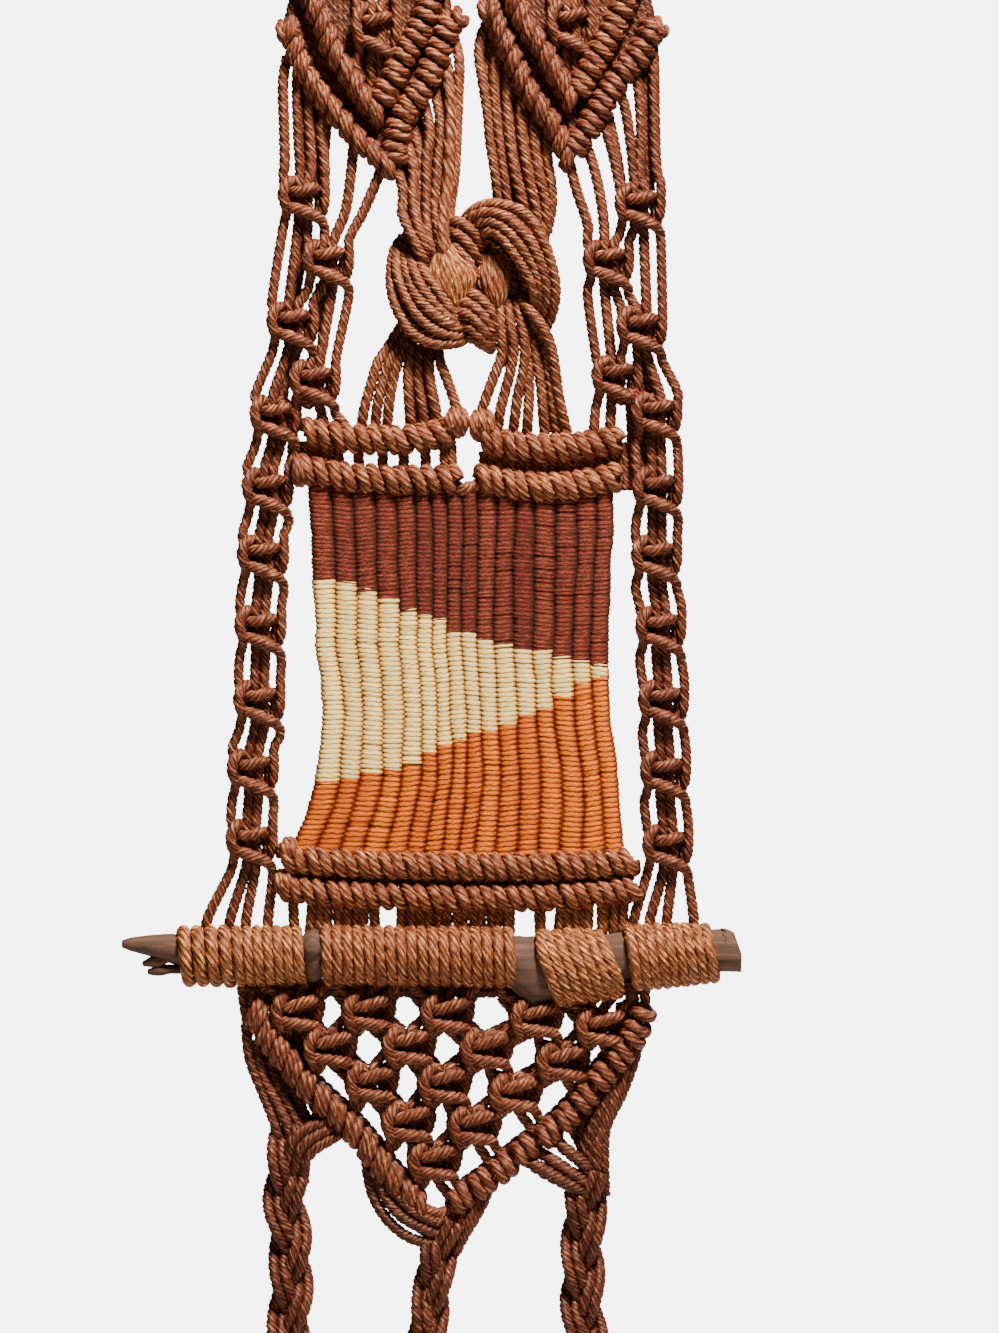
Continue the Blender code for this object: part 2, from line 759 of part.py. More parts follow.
def braid_shells(braid):
    """A three-part braid, its feeding cords, its end knot and its loose ends."""
    shells = []
    for cords, width, route in braid.feeds:
        shells.append(bundle(cords, width, [Vector(point) for point in route]))
    length = braid.route[0][1] - braid.route[-1][1]
    count = round(length / BRAID_PERIOD * BRAID_STEPS * 2) + 1
    line = even_route(flat(braid.route), count)
    for part in range(3):
        path = []
        for k, point in enumerate(line):
            t = math.tau * (k / (2 * BRAID_STEPS) + part / 3)
            path.append(point + RIGHT * braid.reach * math.sin(t) + BACK * BRAID_SWING * math.sin(2 * t))
        shells.append(strand(path, 2 * BRAID_STRAND, sides=BRAID_SIDES))
    place = braid.route[-1]
    width, height, depth = END_KNOT
    shells.append(knot(place, (width, height), depth, LUMP_PROFILE))
    below = at(*place) - UP * height / 2
    for k in range(TASSEL_STRANDS):
        turn = math.tau * (k + TASSEL_TURN) / TASSEL_STRANDS
        out = RIGHT * math.cos(turn) + BACK * math.sin(turn) * TASSEL_FLATNESS
        root = below + UP * SINK + out * TASSEL_ROOT
        tip = below - UP * (TASSEL_LENGTH - TASSEL_UNEVEN * (k % 3)) + out * TASSEL_SPREAD
        middle = root.lerp(tip, 0.5) + out * TASSEL_BELLY
        shells.append(strand([root, middle, tip]))
    return shells


# Woven panel


def table_value(table, key, column):
    """A value from a table whose first column rises or falls, straight between its rows."""
    for a, b in zip(table, table[1:]):
        if min(a[0], b[0]) <= key <= max(a[0], b[0]):
            t = (key - a[0]) / (b[0] - a[0])
            return a[column] + (b[column] - a[column]) * t
    return table[0][column] if abs(key - table[0][0]) < abs(key - table[-1][0]) else table[-1][column]


def weft_solid(name, top, bottom, rows, material):
    """One colour of the panel's weft: ribs side by side, between a top and a bottom line."""
    columns = 2 * PANEL_RIBS
    mesh = bmesh.new()
    grid = {}
    for c in range(columns + 1):
        share = c / columns
        x_guess = PANEL_EDGES[0][1] * (1 - share) + PANEL_EDGES[0][2] * share
        z_top, z_bottom = top(x_guess), bottom(x_guess)
        for r in range(rows + 1):
            z = z_top + (z_bottom - z_top) * r / rows
            left = table_value(PANEL_EDGES, z, 1)
            right = table_value(PANEL_EDGES, z, 2)
            x = left + (right - left) * share
            deep = PANEL_DEPTH / 2 if c % 2 else PANEL_DEPTH / 2 - RIB_RELIEF
            for face in (-1, 1):
                grid[c, r, face] = mesh.verts.new(Vector((x, face * deep, z)) * MM)
    for c in range(columns):
        for r in range(rows):
            front = [grid[c, r, -1], grid[c, r + 1, -1], grid[c + 1, r + 1, -1], grid[c + 1, r, -1]]
            back = [grid[c, r, 1], grid[c + 1, r, 1], grid[c + 1, r + 1, 1], grid[c, r + 1, 1]]
            mesh.faces.new(front)
            mesh.faces.new(back)
        for r, flip in ((0, False), (rows, True)):
            wall = [grid[c, r, -1], grid[c + 1, r, -1], grid[c + 1, r, 1], grid[c, r, 1]]
            mesh.faces.new(wall[::-1] if flip else wall)
    for r in range(rows):
        for c, flip in ((0, False), (columns, True)):
            wall = [grid[c, r, -1], grid[c, r, 1], grid[c, r + 1, 1], grid[c, r + 1, -1]]
            mesh.faces.new(wall[::-1] if flip else wall)
    bmesh.ops.triangulate(mesh, faces=mesh.faces[:])
    if mesh.calc_volume(signed=True) < 0:
        bmesh.ops.reverse_faces(mesh, faces=mesh.faces[:])
    data = bpy.data.meshes.new(name)
    mesh.to_mesh(data)
    mesh.free()
    data.materials.append(material)
    thing = bpy.data.objects.new(name, data)
    bpy.context.scene.collection.objects.link(thing)
    return thing


def panel_top(x):
    """The panel's top line, just under the upper bars."""
    row = [UPPER_ROWS["left"][1][0], UPPER_ROWS["left"][1][1], UPPER_ROWS["right"][1][1]]
    return table_value(row, x, 1) - PANEL_SEAT


def panel_bottom(x):
    """The panel's bottom line, just over the lower bar."""
    return table_value(LOWER_ROWS[0], x, 1) + LOWER_HEIGHT / 2 * BAR_FLAT + FIT_GAP


def build_panel():
    """The three yarns of the woven panel."""
    half_gap = FIT_GAP / 2
    weft_solid(
        "weft_maroon", panel_top, lambda x: table_value(CREAM_TOP, x, 1) + half_gap,
        MAROON_ROWS, finish("maroon_yarn"),
    )
    weft_solid(
        "weft_cream", lambda x: table_value(CREAM_TOP, x, 1) - half_gap,
        lambda x: table_value(CREAM_BOTTOM, x, 1) + half_gap, CREAM_ROWS, finish("cream_yarn"),
    )
    weft_solid(
        "weft_orange", lambda x: table_value(CREAM_BOTTOM, x, 1) - half_gap, panel_bottom,
        ORANGE_ROWS, finish("orange_yarn"),
    )


def stick_rings(extra=0.0, reach=0.0):
    """The stick's sections, made larger all round by an extra and longer by a reach."""
    rings = []
    for i, (x, z, high, deep) in enumerate(STICK):
        end = -reach if i == 0 else reach if i == len(STICK) - 1 else 0.0
        rings.append(ring(at(x + end, z), BACK, UP, deep + extra, high + extra, STICK_SIDES))
    return rings


def main():
    clear_scene()
    cord = finish("rust_cord")
    upper = []
    for strap in STRAPS:
        upper += strap_shells(strap) + feed_shells(strap)
    for side in SIDE_COLUMNS:
        upper += side_shells(side)
    upper += centre_shells() + upper_bar_shells() + lower_bar_shells()
    fused("knotwork_upper", upper, cord, UPPER_SHARE)
    lower = sleeve_shells() + net_shells()
    for braid in BRAIDS:
        lower += braid_shells(braid)
    bore = make_object("stick_bore", [stick_rings(BORE_GAP, 1.0)])
    fused("knotwork_lower", lower, cord, LOWER_SHARE, bore)
    stick = make_object("driftwood_stick", [stick_rings()], finish("driftwood"))
    stick.data.shade_smooth()
    stick.data.set_sharp_from_angle(angle=math.radians(40))
    build_panel()


main()
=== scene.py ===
# %% [markdown]
# # A macrame wall hanging, cord by cord
# The hanging is knotted from one rust-brown cord of three twisted plies, with a panel woven in three
# yarns and a driftwood stick hitched across it. The plain CAD solids give every place and size. Here
# each of them is dressed: every cord is a real twisted cord that runs through its own knots, every rib
# of the panel is wound from rows of yarn, and the stick has grain, cracks and broken ends. Tables are
# in millimetres or in places of the picture, and a mesh is turned into metres only when it is made.

# %% Load the fixed frame
import math

import bpy
import numpy as np
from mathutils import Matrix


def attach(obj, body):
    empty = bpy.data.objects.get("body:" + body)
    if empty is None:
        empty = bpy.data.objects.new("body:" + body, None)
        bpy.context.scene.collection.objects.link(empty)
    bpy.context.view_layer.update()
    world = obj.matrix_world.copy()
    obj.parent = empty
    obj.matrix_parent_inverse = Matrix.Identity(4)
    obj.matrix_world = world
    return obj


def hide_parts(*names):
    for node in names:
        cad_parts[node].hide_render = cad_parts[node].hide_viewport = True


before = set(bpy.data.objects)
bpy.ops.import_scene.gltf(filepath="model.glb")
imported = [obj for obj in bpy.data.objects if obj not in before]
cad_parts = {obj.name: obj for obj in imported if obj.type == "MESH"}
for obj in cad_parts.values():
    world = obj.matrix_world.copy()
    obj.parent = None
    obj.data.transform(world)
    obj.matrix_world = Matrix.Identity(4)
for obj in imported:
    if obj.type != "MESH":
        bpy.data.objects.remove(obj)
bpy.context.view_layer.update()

MM = 0.001

# %% [markdown]
# ## The camera
# A hanging is best seen straight on from far away, with a long lens, so that its two sides stay
# parallel. The picture has a fixed scale, so one helper turns a place in the picture into millimetres
# of the hanging, and the camera is put where the picture's middle falls.

# %% Camera and places
PIXEL = 0.435
ZERO_X, ZERO_Y = 462.0, -60.0
PICTURE_WIDE, PICTURE_HIGH = 999.0, 1333.0
FAR = 2400.0
SENSOR = 36.0


def seen(x, y, depth=0.0):
    """Millimetres in the hanging's frame, from a place in the picture and a depth behind its middle."""
    return np.array([(x - ZERO_X) * PIXEL, depth, (ZERO_Y - y) * PIXEL])


def add_object(name, data):
    """Puts an object with this data into the scene."""
    thing = bpy.data.objects.new(name, data)
    bpy.context.scene.collection.objects.link(thing)
    return thing


lens = bpy.data.cameras.new("picture_camera")
lens.sensor_fit = "VERTICAL"
lens.sensor_height = SENSOR
lens.lens = SENSOR * FAR / (PICTURE_HIGH * PIXEL)
lens.clip_end = 20.0
camera = add_object("picture_camera", lens)
camera.location = seen(PICTURE_WIDE / 2, PICTURE_HIGH / 2, -FAR) * MM
camera.rotation_euler = (math.radians(90), 0, 0)
bpy.context.scene.camera = camera
print("lens of", round(lens.lens, 1), "mm, from", FAR * MM, "m away")

# %% [markdown]
# ## Node trees, written as sums
# Every finish is a node tree. Clicking it together is quick for one material and slow for six, so here
# a wire is what comes out of a node, and adding or multiplying two wires makes the Math node between
# them. An effect that several finishes share is a node group with named sockets, built once.

# %% Helpers for node trees
class Wire:
    """What comes out of a node. Sums with wires make Math nodes."""

    def __init__(self, tree, socket):
        self.tree, self.socket = tree, socket

    def maths(self, operation, other=0.0, clamp=False):
        return wire(self.tree, "ShaderNodeMath", {"operation": operation, "use_clamp": clamp}, i0=self, i1=other)

    def __add__(self, other):
        return self.maths("ADD", other)

    def __sub__(self, other):
        return self.maths("SUBTRACT", other)

    def __rsub__(self, other):
        return wire(self.tree, "ShaderNodeMath", {"operation": "SUBTRACT"}, i0=other, i1=self)

    def __mul__(self, other):
        return self.maths("MULTIPLY", other)

    def __pow__(self, other):
        return self.maths("POWER", other)


def feed(made, **links):
    """Feeds a node's inputs, by name or by number, from wires or with plain values."""
    for label, value in links.items():
        socket = made.inputs[int(label[1:]) if label[1:].isdigit() else label.replace("_", " ")]
        if isinstance(value, Wire):
            value.tree.links.new(value.socket, socket)
        else:
            socket.default_value = value


def node(tree, kind, settings=None, **links):
    """A node with its settings and what feeds it."""
    made = tree.nodes.new(kind)
    for label, value in (settings or {}).items():
        setattr(made, label, value)
    feed(made, **links)
    return made


def wire(tree, kind, settings=None, out=0, **links):
    """The wire out of a new node."""
    return Wire(tree, node(tree, kind, settings, **links).outputs[out])


def noise(tree, where, scale, detail, rough=0.5):
    """Soft random patches, from 0 to 1."""
    return wire(tree, "ShaderNodeTexNoise", i0=where, Scale=scale, Detail=detail, Roughness=rough)


def point(tree, x, y, z=0.0):
    """A place made of three numbers or wires."""
    return wire(tree, "ShaderNodeCombineXYZ", i0=x, i1=y, i2=z)


def parts(tree, where):
    """The wires for X, Y and Z of a place."""
    return [Wire(tree, out) for out in node(tree, "ShaderNodeSeparateXYZ", i0=where).outputs]


def new_material(name):
    """A material, its node tree and its shader."""
    material = bpy.data.materials.new(name)
    material.use_nodes = True
    return material, material.node_tree, material.node_tree.nodes["Principled BSDF"]


def socket_kind(value):
    """A group's socket is for a colour or for a number."""
    return "NodeSocketColor" if isinstance(value, tuple) else "NodeSocketFloat"


def new_group(name, **takes):
    """An empty node group whose inputs are named, and the wires that come in through them."""
    group = bpy.data.node_groups.new(name, "ShaderNodeTree")
    for label, start in takes.items():
        group.interface.new_socket(label, in_out="INPUT", socket_type=socket_kind(start)).default_value = start
    given = group.nodes.new("NodeGroupInput")
    return group, {label: Wire(group, given.outputs[label]) for label in takes}


def close_group(group, **gives):
    """Names the group's outputs and wires them up."""
    for label in gives:
        kind = "NodeSocketColor" if label == "Color" else "NodeSocketFloat"
        group.interface.new_socket(label, in_out="OUTPUT", socket_type=kind)
    feed(group.nodes.new("NodeGroupOutput"), **gives)
    print("group", group.name, "with", len(group.nodes), "nodes")
    return group


def use_group(tree, group, **links):
    """Places a node group in a material with its own values, and gives its wires by name."""
    made = node(tree, "ShaderNodeGroup", {"node_tree": group}, **links)
    return {out.name: Wire(tree, out) for out in made.outputs}


# %% [markdown]
# ## The studio
# The cords throw deep shadows on each other, and their upper right sides shine. One strong, small lamp,
# high in front and to the right, does that. A weak lamp on the left, one behind and a pale sky keep the
# shadows brown. The camera sees a brighter sky than the one that lights the cords, so it stays pale.

# %% Lamps
LAMPS = {
    "key_lamp": ((0.40, -0.80, 1.15), 0.35, 114.0, (1.0, 0.94, 0.87)),
    "side_lamp": ((-1.2, -1.3, -0.1), 0.9, 1.4, (1.0, 0.97, 0.94)),
    "back_lamp": ((0.4, 1.5, 0.6), 1.0, 14.0, (1.0, 1.0, 1.0)),
}
LAMPS_AIM = np.array([0.0, 0.0, -0.36])
for name, (place, size, power, tint) in LAMPS.items():
    light = bpy.data.lights.new(name, "AREA")
    light.size, light.energy, light.color = size, power, tint
    lamp = add_object(name, light)
    lamp.location = place
    x, y, z = LAMPS_AIM - place
    lamp.rotation_euler = (math.atan2(math.hypot(x, y), -z), 0, math.atan2(-x, y))
print(len(LAMPS), "lamps")

# %% Sky and floor
WHITE = (1.0, 1.0, 1.0, 1.0)
SKY_LIGHT, SKY_SEEN = 0.04, 6.0
FLOOR_HEIGHT, FLOOR_REACH = -0.78, 0.95

sky = bpy.data.worlds.new("pale_sky")
bpy.context.scene.world = sky
sky.use_nodes = True
tree = sky.node_tree
feed(tree.nodes["Background"], Color=WHITE, Strength=SKY_LIGHT)
sky_mix = wire(
    tree, "ShaderNodeMixShader", i0=wire(tree, "ShaderNodeLightPath", out="Is Camera Ray"),
    i1=Wire(tree, tree.nodes["Background"].outputs[0]),
    i2=wire(tree, "ShaderNodeBackground", Color=WHITE, Strength=SKY_SEEN),
)
feed(tree.nodes["World Output"], Surface=sky_mix)

corners = [(x * FLOOR_REACH, y * FLOOR_REACH, FLOOR_HEIGHT) for x, y in ((-1, -1), (1, -1), (1, 1), (-1, 1))]
floor_mesh = bpy.data.meshes.new("pale_floor")
floor_mesh.from_pydata(corners, [], [(0, 1, 2, 3)])
paint, tree, shader = new_material("pale_floor")
feed(shader, Base_Color=(0.58, 0.57, 0.55, 1.0), Roughness=0.9)
floor_mesh.materials.append(paint)
floor = add_object("pale_floor", floor_mesh)
print("floor at", FLOOR_HEIGHT, "m")

# %% [markdown]
# ## Shared effects, as node groups
# Cord and yarn are both spun fibre, so both need fine streaks that run along the strand, and both change
# a little in colour from place to place. On the cord the same change also carries each piece's painted light,
# which is painted shade below zero. A group works from the map that the strand's mesh brings: U
# runs along the strand, and V goes once round it and turns with its plies.

# %% Group: fibre streaks along a strand
def strand_place(tree):
    """The wires for U and V of a strand's own map."""
    return parts(tree, wire(tree, "ShaderNodeUVMap", {"uv_map": "strand"}))[:2]


def ripple(value, power):
    """A row of round crests with a narrow groove at each whole number."""
    return (value * math.pi).maths("SINE").maths("ABSOLUTE") ** power


group, given = new_group("fibre_streaks", Yarns=6.0, Along=60.0, Around=22.0, Fuzz=0.5)
u, v = strand_place(group)
groove = ripple(v * given["Yarns"], 0.55)
around = v * given["Around"]
spot = point(group, u * given["Along"] + around * 0.35, around)
mixed = noise(group, spot, 1.0, 3.0, 0.62) + (noise(group, spot, 3.1, 2.0, 0.7) - 0.5) * given["Fuzz"]
streak = (mixed - 0.30).maths("MULTIPLY", 2.5, clamp=True)
fibre_streaks = close_group(group, Groove=groove, Streak=streak, Height=groove * 0.6 + streak * 0.4)

# %% Group: colour that drifts from place to place, with each piece's painted light and shade
group, given = new_group("dye_drift_and_painted_light", Color=(0.5, 0.5, 0.5, 1.0), Size=40.0, Amount=0.2)
patch = noise(group, wire(group, "ShaderNodeTexCoord", out="Object"), given["Size"], 2.0) - 0.5
# The tone attribute brings each strand's random tone and its piece's painted light, painted shade below zero; both
# move value and hue.
tone = wire(group, "ShaderNodeAttribute", {"attribute_name": "tone"}, "Fac") - 0.5
value = (patch + tone) * given["Amount"] + 1.0
dyed_and_lit = wire(group, "ShaderNodeHueSaturation", Hue=tone * 0.006 + 0.5, Value=value, Color=given["Color"])
dye_drift_and_painted_light = close_group(group, Color=dyed_and_lit)

# %% [markdown]
# ## The cord's finish
# Rust-brown cord, dyed a little unevenly, with a satin shine on the crown of each ply and almost black
# where two plies meet. A colour ramp does most of it: it reads the groove between plies and the fibre
# streaks together, paints shade into the grooves and paints a highlight on the crowns, beside the
# shader's real sheen. A slight bump lets each fibre catch the light.

# %% Spun finishes: cord and yarn
def colour_ramp(tree, where, shades):
    """Colours at places from 0 to 1, and everything between them."""
    ramp = node(tree, "ShaderNodeValToRGB", i0=where)
    band = ramp.color_ramp
    while len(band.elements) < len(shades):
        band.elements.new(0.5)
    for element, (place, colour) in zip(band.elements, shades):
        element.position = place
        element.color = (*colour, 1.0)
    return Wire(tree, ramp.outputs[0])


def spun_finish(name, fibre_group, values, shades, groove_shade_share, roughness, sheen, bump, drift, glow):
    """A material for cord or yarn: its colours run from painted shade in the grooves to the fibres on the crests.
    """
    material, tree, shader = new_material(name)
    fibre = use_group(tree, fibre_group, **values)
    painted_shade_ramp = colour_ramp(tree, fibre["Groove"] * groove_shade_share + fibre["Streak"] * (1 - groove_shade_share), shades)
    feed(
        shader, Base_Color=use_group(tree, dye_drift_and_painted_light, Color=painted_shade_ramp, Size=drift[0], Amount=drift[1])["Color"],
        Roughness=fibre["Streak"] * -0.18 + roughness,
        Normal=wire(tree, "ShaderNodeBump", Strength=bump, Distance=0.0005, Height=fibre["Height"]),
        Sheen_Weight=sheen, Sheen_Roughness=0.4, Sheen_Tint=(*glow, 1.0), Specular_Tint=(*glow, 1.0),
    )
    print("finish", name)
    return material


# The darkest stops paint shade into the grooves between plies; the brightest stop paints a highlight on the
# crowns.
rust_cord = spun_finish(
    "rust_cord_finish", fibre_streaks, {"Yarns": 6.0, "Along": 30.0, "Around": 15.0, "Fuzz": 0.45},
    [
        (0.20, (0.008, 0.0008, 0.0003)), (0.47, (0.075, 0.0125, 0.0050)), (0.73, (0.250, 0.066, 0.0280)),
        (0.97, (0.820, 0.330, 0.135)),
    ],
    0.42, 0.56, 0.03, 0.9, (26.0, 0.26), (1.0, 0.62, 0.40),
)

# %% [markdown]
# ## Making a cord
# A cord could be a curve with a round bevel, but then its twist would have to be painted. Here each cord
# is a mesh swept along its route: a ring of nine points, two on the crown of each ply and one in each
# groove, that turns as it goes. Down a hanging cord the plies run from upper left to lower right. Each
# piece has a painted light of its own: its colour is made lighter above zero and darker below zero, painted
# light and painted shade for how much light reaches it; and its strands differ a little in tone from each other.

# %% Smooth routes
STEP = 1.25


def smooth(points, step=STEP):
    """Places the same distance apart on a smooth curve through the given ones, with their thicknesses."""
    given = np.asarray(points, float)
    gaps = np.linalg.norm(np.diff(given[:, :3], axis=0), axis=1)
    given = given[np.concatenate([[True], gaps > 0.01])]
    gaps = gaps[gaps > 0.01]
    slopes = np.diff(given, axis=0) / gaps[:, None]
    lean = np.vstack([slopes[:1], slopes])
    lean[1:-1] = (given[2:] - given[:-2]) / (gaps[:-1] + gaps[1:])[:, None]
    at = np.concatenate([[0.0], np.cumsum(gaps)])
    fine = np.linspace(0, at[-1], max(8, int(at[-1] / step * 3)))
    k = np.clip(np.searchsorted(at, fine, side="right") - 1, 0, len(gaps) - 1)
    h, t = gaps[k][:, None], ((fine - at[k]) / gaps[k])[:, None]
    bends = (
        given[k] * (1 + 2 * t) * (1 - t) ** 2 + given[k + 1] * t * t * (3 - 2 * t)
        + lean[k] * h * t * (1 - t) ** 2 - lean[k + 1] * h * t * t * (1 - t)
    )
    far = np.concatenate([[0.0], np.cumsum(np.linalg.norm(np.diff(bends[:, :3], axis=0), axis=1))])
    even = np.linspace(0, far[-1], max(3, round(far[-1] / step) + 1))
    return np.column_stack([np.interp(even, far, column) for column in bends.T])


def carry_side(ahead):
    """A side direction for each place on a route, carried along without twisting."""
    sides = np.empty_like(ahead)
    side = np.cross(ahead[0], (0.31, 1.0, 0.17))
    for k, forward in enumerate(ahead):
        side = side - forward * (side @ forward)
        side = side / math.sqrt(side @ side)
        sides[k] = side
    return sides


# %% Routes in the picture
CORD = 2.6


def places(text):
    """One route, written as places x,y that may bring a depth and a radius of their own."""
    return [tuple(map(float, place.split(","))) for place in text.split()]


def routes(text):
    """Several routes, with a slash between one and the next."""
    return [places(route) for route in text.split("/")]


def picture_line(route, depth=0.0):
    """The millimetres of a route through the picture."""
    thick = any(len(place) > 3 for place in route)
    full = [(*place, *(depth, CORD)[len(place) - 2:]) for place in route]
    return np.array([(*seen(x, y, deep), radius)[:3 + thick] for x, y, deep, radius in full])


# %% A skein: the cords of one piece
LAY = 13.5
PLY_ANGLES = np.radians([120 * ply + turn for ply in range(3) for turn in (0, 38, 82)])
PLY_REACH = np.tile([0.82, 1.0, 1.0], 3)
MAP_LENGTH = 100.0
total_cord = 0.0


class Skein:
    """Collects the strands of one piece, and makes them into one mesh."""

    # painted_light lightens every strand of the piece above zero and darkens it below zero: painted light and
    # painted shade.
    def __init__(self, seed, painted_light=0.0):
        self.chance = np.random.default_rng(seed)
        self.painted_light = painted_light
        self.points, self.faces, self.places, self.tones_and_light = [], [], [], []
        self.count = 0
        self.length = 0.0

    def lay(self, route, radius=CORD, lay=LAY, angles=PLY_ANGLES, reach=PLY_REACH, step=STEP):
        """Lays one strand along a route in millimetres, whose places may carry a radius of their own."""
        line = smooth([(*place[:3], place[3] if len(place) > 3 else radius) for place in route], step)
        line, thick = line[:, :3], line[:, 3]
        ahead = np.gradient(line, axis=0)
        ahead /= np.linalg.norm(ahead, axis=1)[:, None]
        side = carry_side(ahead)
        deep = np.cross(side, ahead)
        far = np.arange(len(line)) * np.linalg.norm(line[1] - line[0])
        turn = math.tau * (far / lay + self.chance.random())
        size = reach * thick[:, None]
        around = angles + turn[:, None]
        across = (np.cos(around) * size)[:, :, None] * side[:, None]
        inward = (np.sin(around) * size)[:, :, None] * deep[:, None]
        self.add_tube(line[:, None] + across + inward, far, self.chance.random())
        self.length += far[-1]

    def trace(self, route, depth=0.0, radius=CORD, lay=LAY):
        """Lays one strand along a route in the picture."""
        self.lay(picture_line(route, depth), radius, lay)

    def add_tube(self, rings, far, tone):
        """Adds a closed tube, given its rings of points and how far along the strand each of them is."""
        rows, ring, _ = rings.shape
        first = self.count + np.arange(rows - 1)[:, None] * ring
        here, there = np.arange(ring), (np.arange(ring) + 1) % ring
        quads = np.stack([first + here, first + there, first + ring + there, first + ring + here], axis=2)
        self.faces += quads.reshape(-1, 4).tolist()
        last = self.count + (rows - 1) * ring
        self.faces += [list(range(self.count + ring - 1, self.count - 1, -1)), list(range(last, last + ring))]
        u, v = far / MAP_LENGTH, np.arange(ring) / ring
        corner = np.empty((rows - 1, ring, 4, 2))
        corner[..., 0] = np.stack([u[:-1], u[:-1], u[1:], u[1:]], axis=1)[:, None]
        corner[..., 1] = np.stack([v, v + 1 / ring, v + 1 / ring, v], axis=1)
        ends = np.column_stack([np.repeat([u[0], u[-1]], ring), np.full(2 * ring, 0.5)])
        self.places += [corner.reshape(-1, 2), ends]
        self.points.append(rings.reshape(-1, 3))
        # Each strand's tone is its random tone plus the piece's painted light, which is painted shade below zero.
        self.tones_and_light.append(np.full(rows * ring, tone + self.painted_light))
        self.count += rows * ring

    def piece(self, name, *nodes, slot="rust_cord", finish=rust_cord):
        """The piece itself: one mesh, riding on the hanging, in place of its CAD solids."""
        global total_cord
        mesh = bpy.data.meshes.new(name)
        mesh.from_pydata((np.concatenate(self.points) * MM).tolist(), [], self.faces)
        strand = mesh.uv_layers.new(name="strand")
        strand.data.foreach_set("uv", np.concatenate(self.places).ravel())
        # The tone attribute carries each strand's random tone and the piece's painted light or shade offset.
        tone = mesh.attributes.new("tone", "FLOAT", "POINT")
        tone.data.foreach_set("value", np.concatenate(self.tones_and_light))
        mesh.polygons.foreach_set("use_smooth", np.ones(len(mesh.polygons), bool))
        mesh.materials.append(finish)
        mesh.update()
        thing = add_object(name, mesh)
        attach(thing, "root")
        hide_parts(*nodes)
        total_cord += self.length
        triangles = sum(len(face) - 2 for face in self.faces)
        print(f"{name}: {triangles} triangles, {self.length * MM:.2f} m of strand")
        return thing


# %% [markdown]
# ## Hitches round a bar
# A bar is a core cord that every other cord is hitched round, twice each, so what shows is a row of
# turns side by side. One helper winds them. Each turn climbs over the front and goes down behind, the
# turns lean as they move along, and each pair of turns swells together, because the pair is one hitch.

# %% Winding
BAR_CORE = 2.4
BAR_CORD = 2.45
BAR_REACH = 3.6
BAR_LAY = 21.0
TURN_STEPS = 14
PAIR_SWELL = 0.7
TURN_JITTER = 0.012
FRONT = np.array([0.0, -1.0, 0.0])


def along(line, far):
    """Places on a line, and the directions up across it, at distances along it."""
    gone = np.concatenate([[0.0], np.cumsum(np.linalg.norm(np.diff(line, axis=0), axis=1))])
    far = np.clip(far, 0, gone[-1])
    place = np.column_stack([np.interp(far, gone, line[:, axis]) for axis in range(3)])
    ahead = np.column_stack([np.interp(far, gone, np.gradient(line[:, axis])) for axis in range(3)])
    ahead /= np.linalg.norm(ahead, axis=1)[:, None]
    up = np.column_stack([-ahead[:, 2], np.zeros(len(far)), ahead[:, 0]])
    up /= np.linalg.norm(up, axis=1)[:, None]
    return place, up


def wind(
    skein, core, turns, high=BAR_REACH, deep=BAR_REACH, slant=-0.25, pairing=0.0, cord=BAR_CORD, uneven=0.25,
    lay=BAR_LAY, heart=BAR_CORE,
):
    """Winds a cord round a core, with its turns drawn together in pairs, and lays the core at its heart."""
    line = smooth(core)
    if heart:
        skein.lay(line, heart, step=2.0)
    length = np.linalg.norm(np.diff(line, axis=0), axis=1).sum()
    count = int(turns * TURN_STEPS) + 1
    turn = np.linspace(0, turns, count)
    drift = np.cumsum(skein.chance.normal(0, uneven / TURN_STEPS, count))
    drift -= np.linspace(0, drift[-1], count)
    paired = turn + pairing * np.sin(math.pi * turn)
    far = np.clip((paired + drift) / turns * length, 0, length)
    angle = math.tau * (turn - 0.25)
    tall, thick = (
        np.interp(far / length, np.linspace(0, 1, np.size(half)), np.atleast_1d(half)) for half in (high, deep)
    )
    swell = 1 - PAIR_SWELL * pairing * np.cos(math.pi * turn) + skein.chance.normal(0, TURN_JITTER, count)
    place, up = along(line, far + slant * tall * np.cos(angle))
    rise, reach = tall * swell * np.cos(angle), thick * swell * np.sin(angle)
    skein.lay(place + up * rise[:, None] + FRONT * reach[:, None], cord, lay)


BEAD_ARC = ((0.5, -1, 2.5), (0.9, -0.8, -2), (1.2, 0, -5), (0.9, 0.8, -2), (0.5, 1, 2.5))
BEAD_CORD = 2.5


def bead(skein, x, y, wide, high, count=3):
    """A round end knot: a few turns over the front, one beside the other."""
    for k in range(count):
        aside = k - (count - 1) / 2
        shift, tall = aside * wide, high * (1 - 0.12 * abs(aside))
        turn = [(x + shift * out, y + tall * down, deep) for out, down, deep in BEAD_ARC]
        skein.trace(turn, 0, BEAD_CORD, BAR_LAY)


# %% [markdown]
# ## Square knots
# A square knot takes four cords: two that work and two that fill. Seen from the front it shows a tall
# turn on the left and two bands to the right of it, the lower one sloping down into the cord that leaves
# on the right. Short loops behind the bands fill the knot's body. The four cords go in as lists of
# places and come out in their new order, so a cord can run on from knot to knot.

# %% Tying a square knot
def knot_shape(text):
    """The two working cords and the hidden loops of a knot: across, deep, up and radius of each place."""
    return [np.array(route) for route in routes(text)]


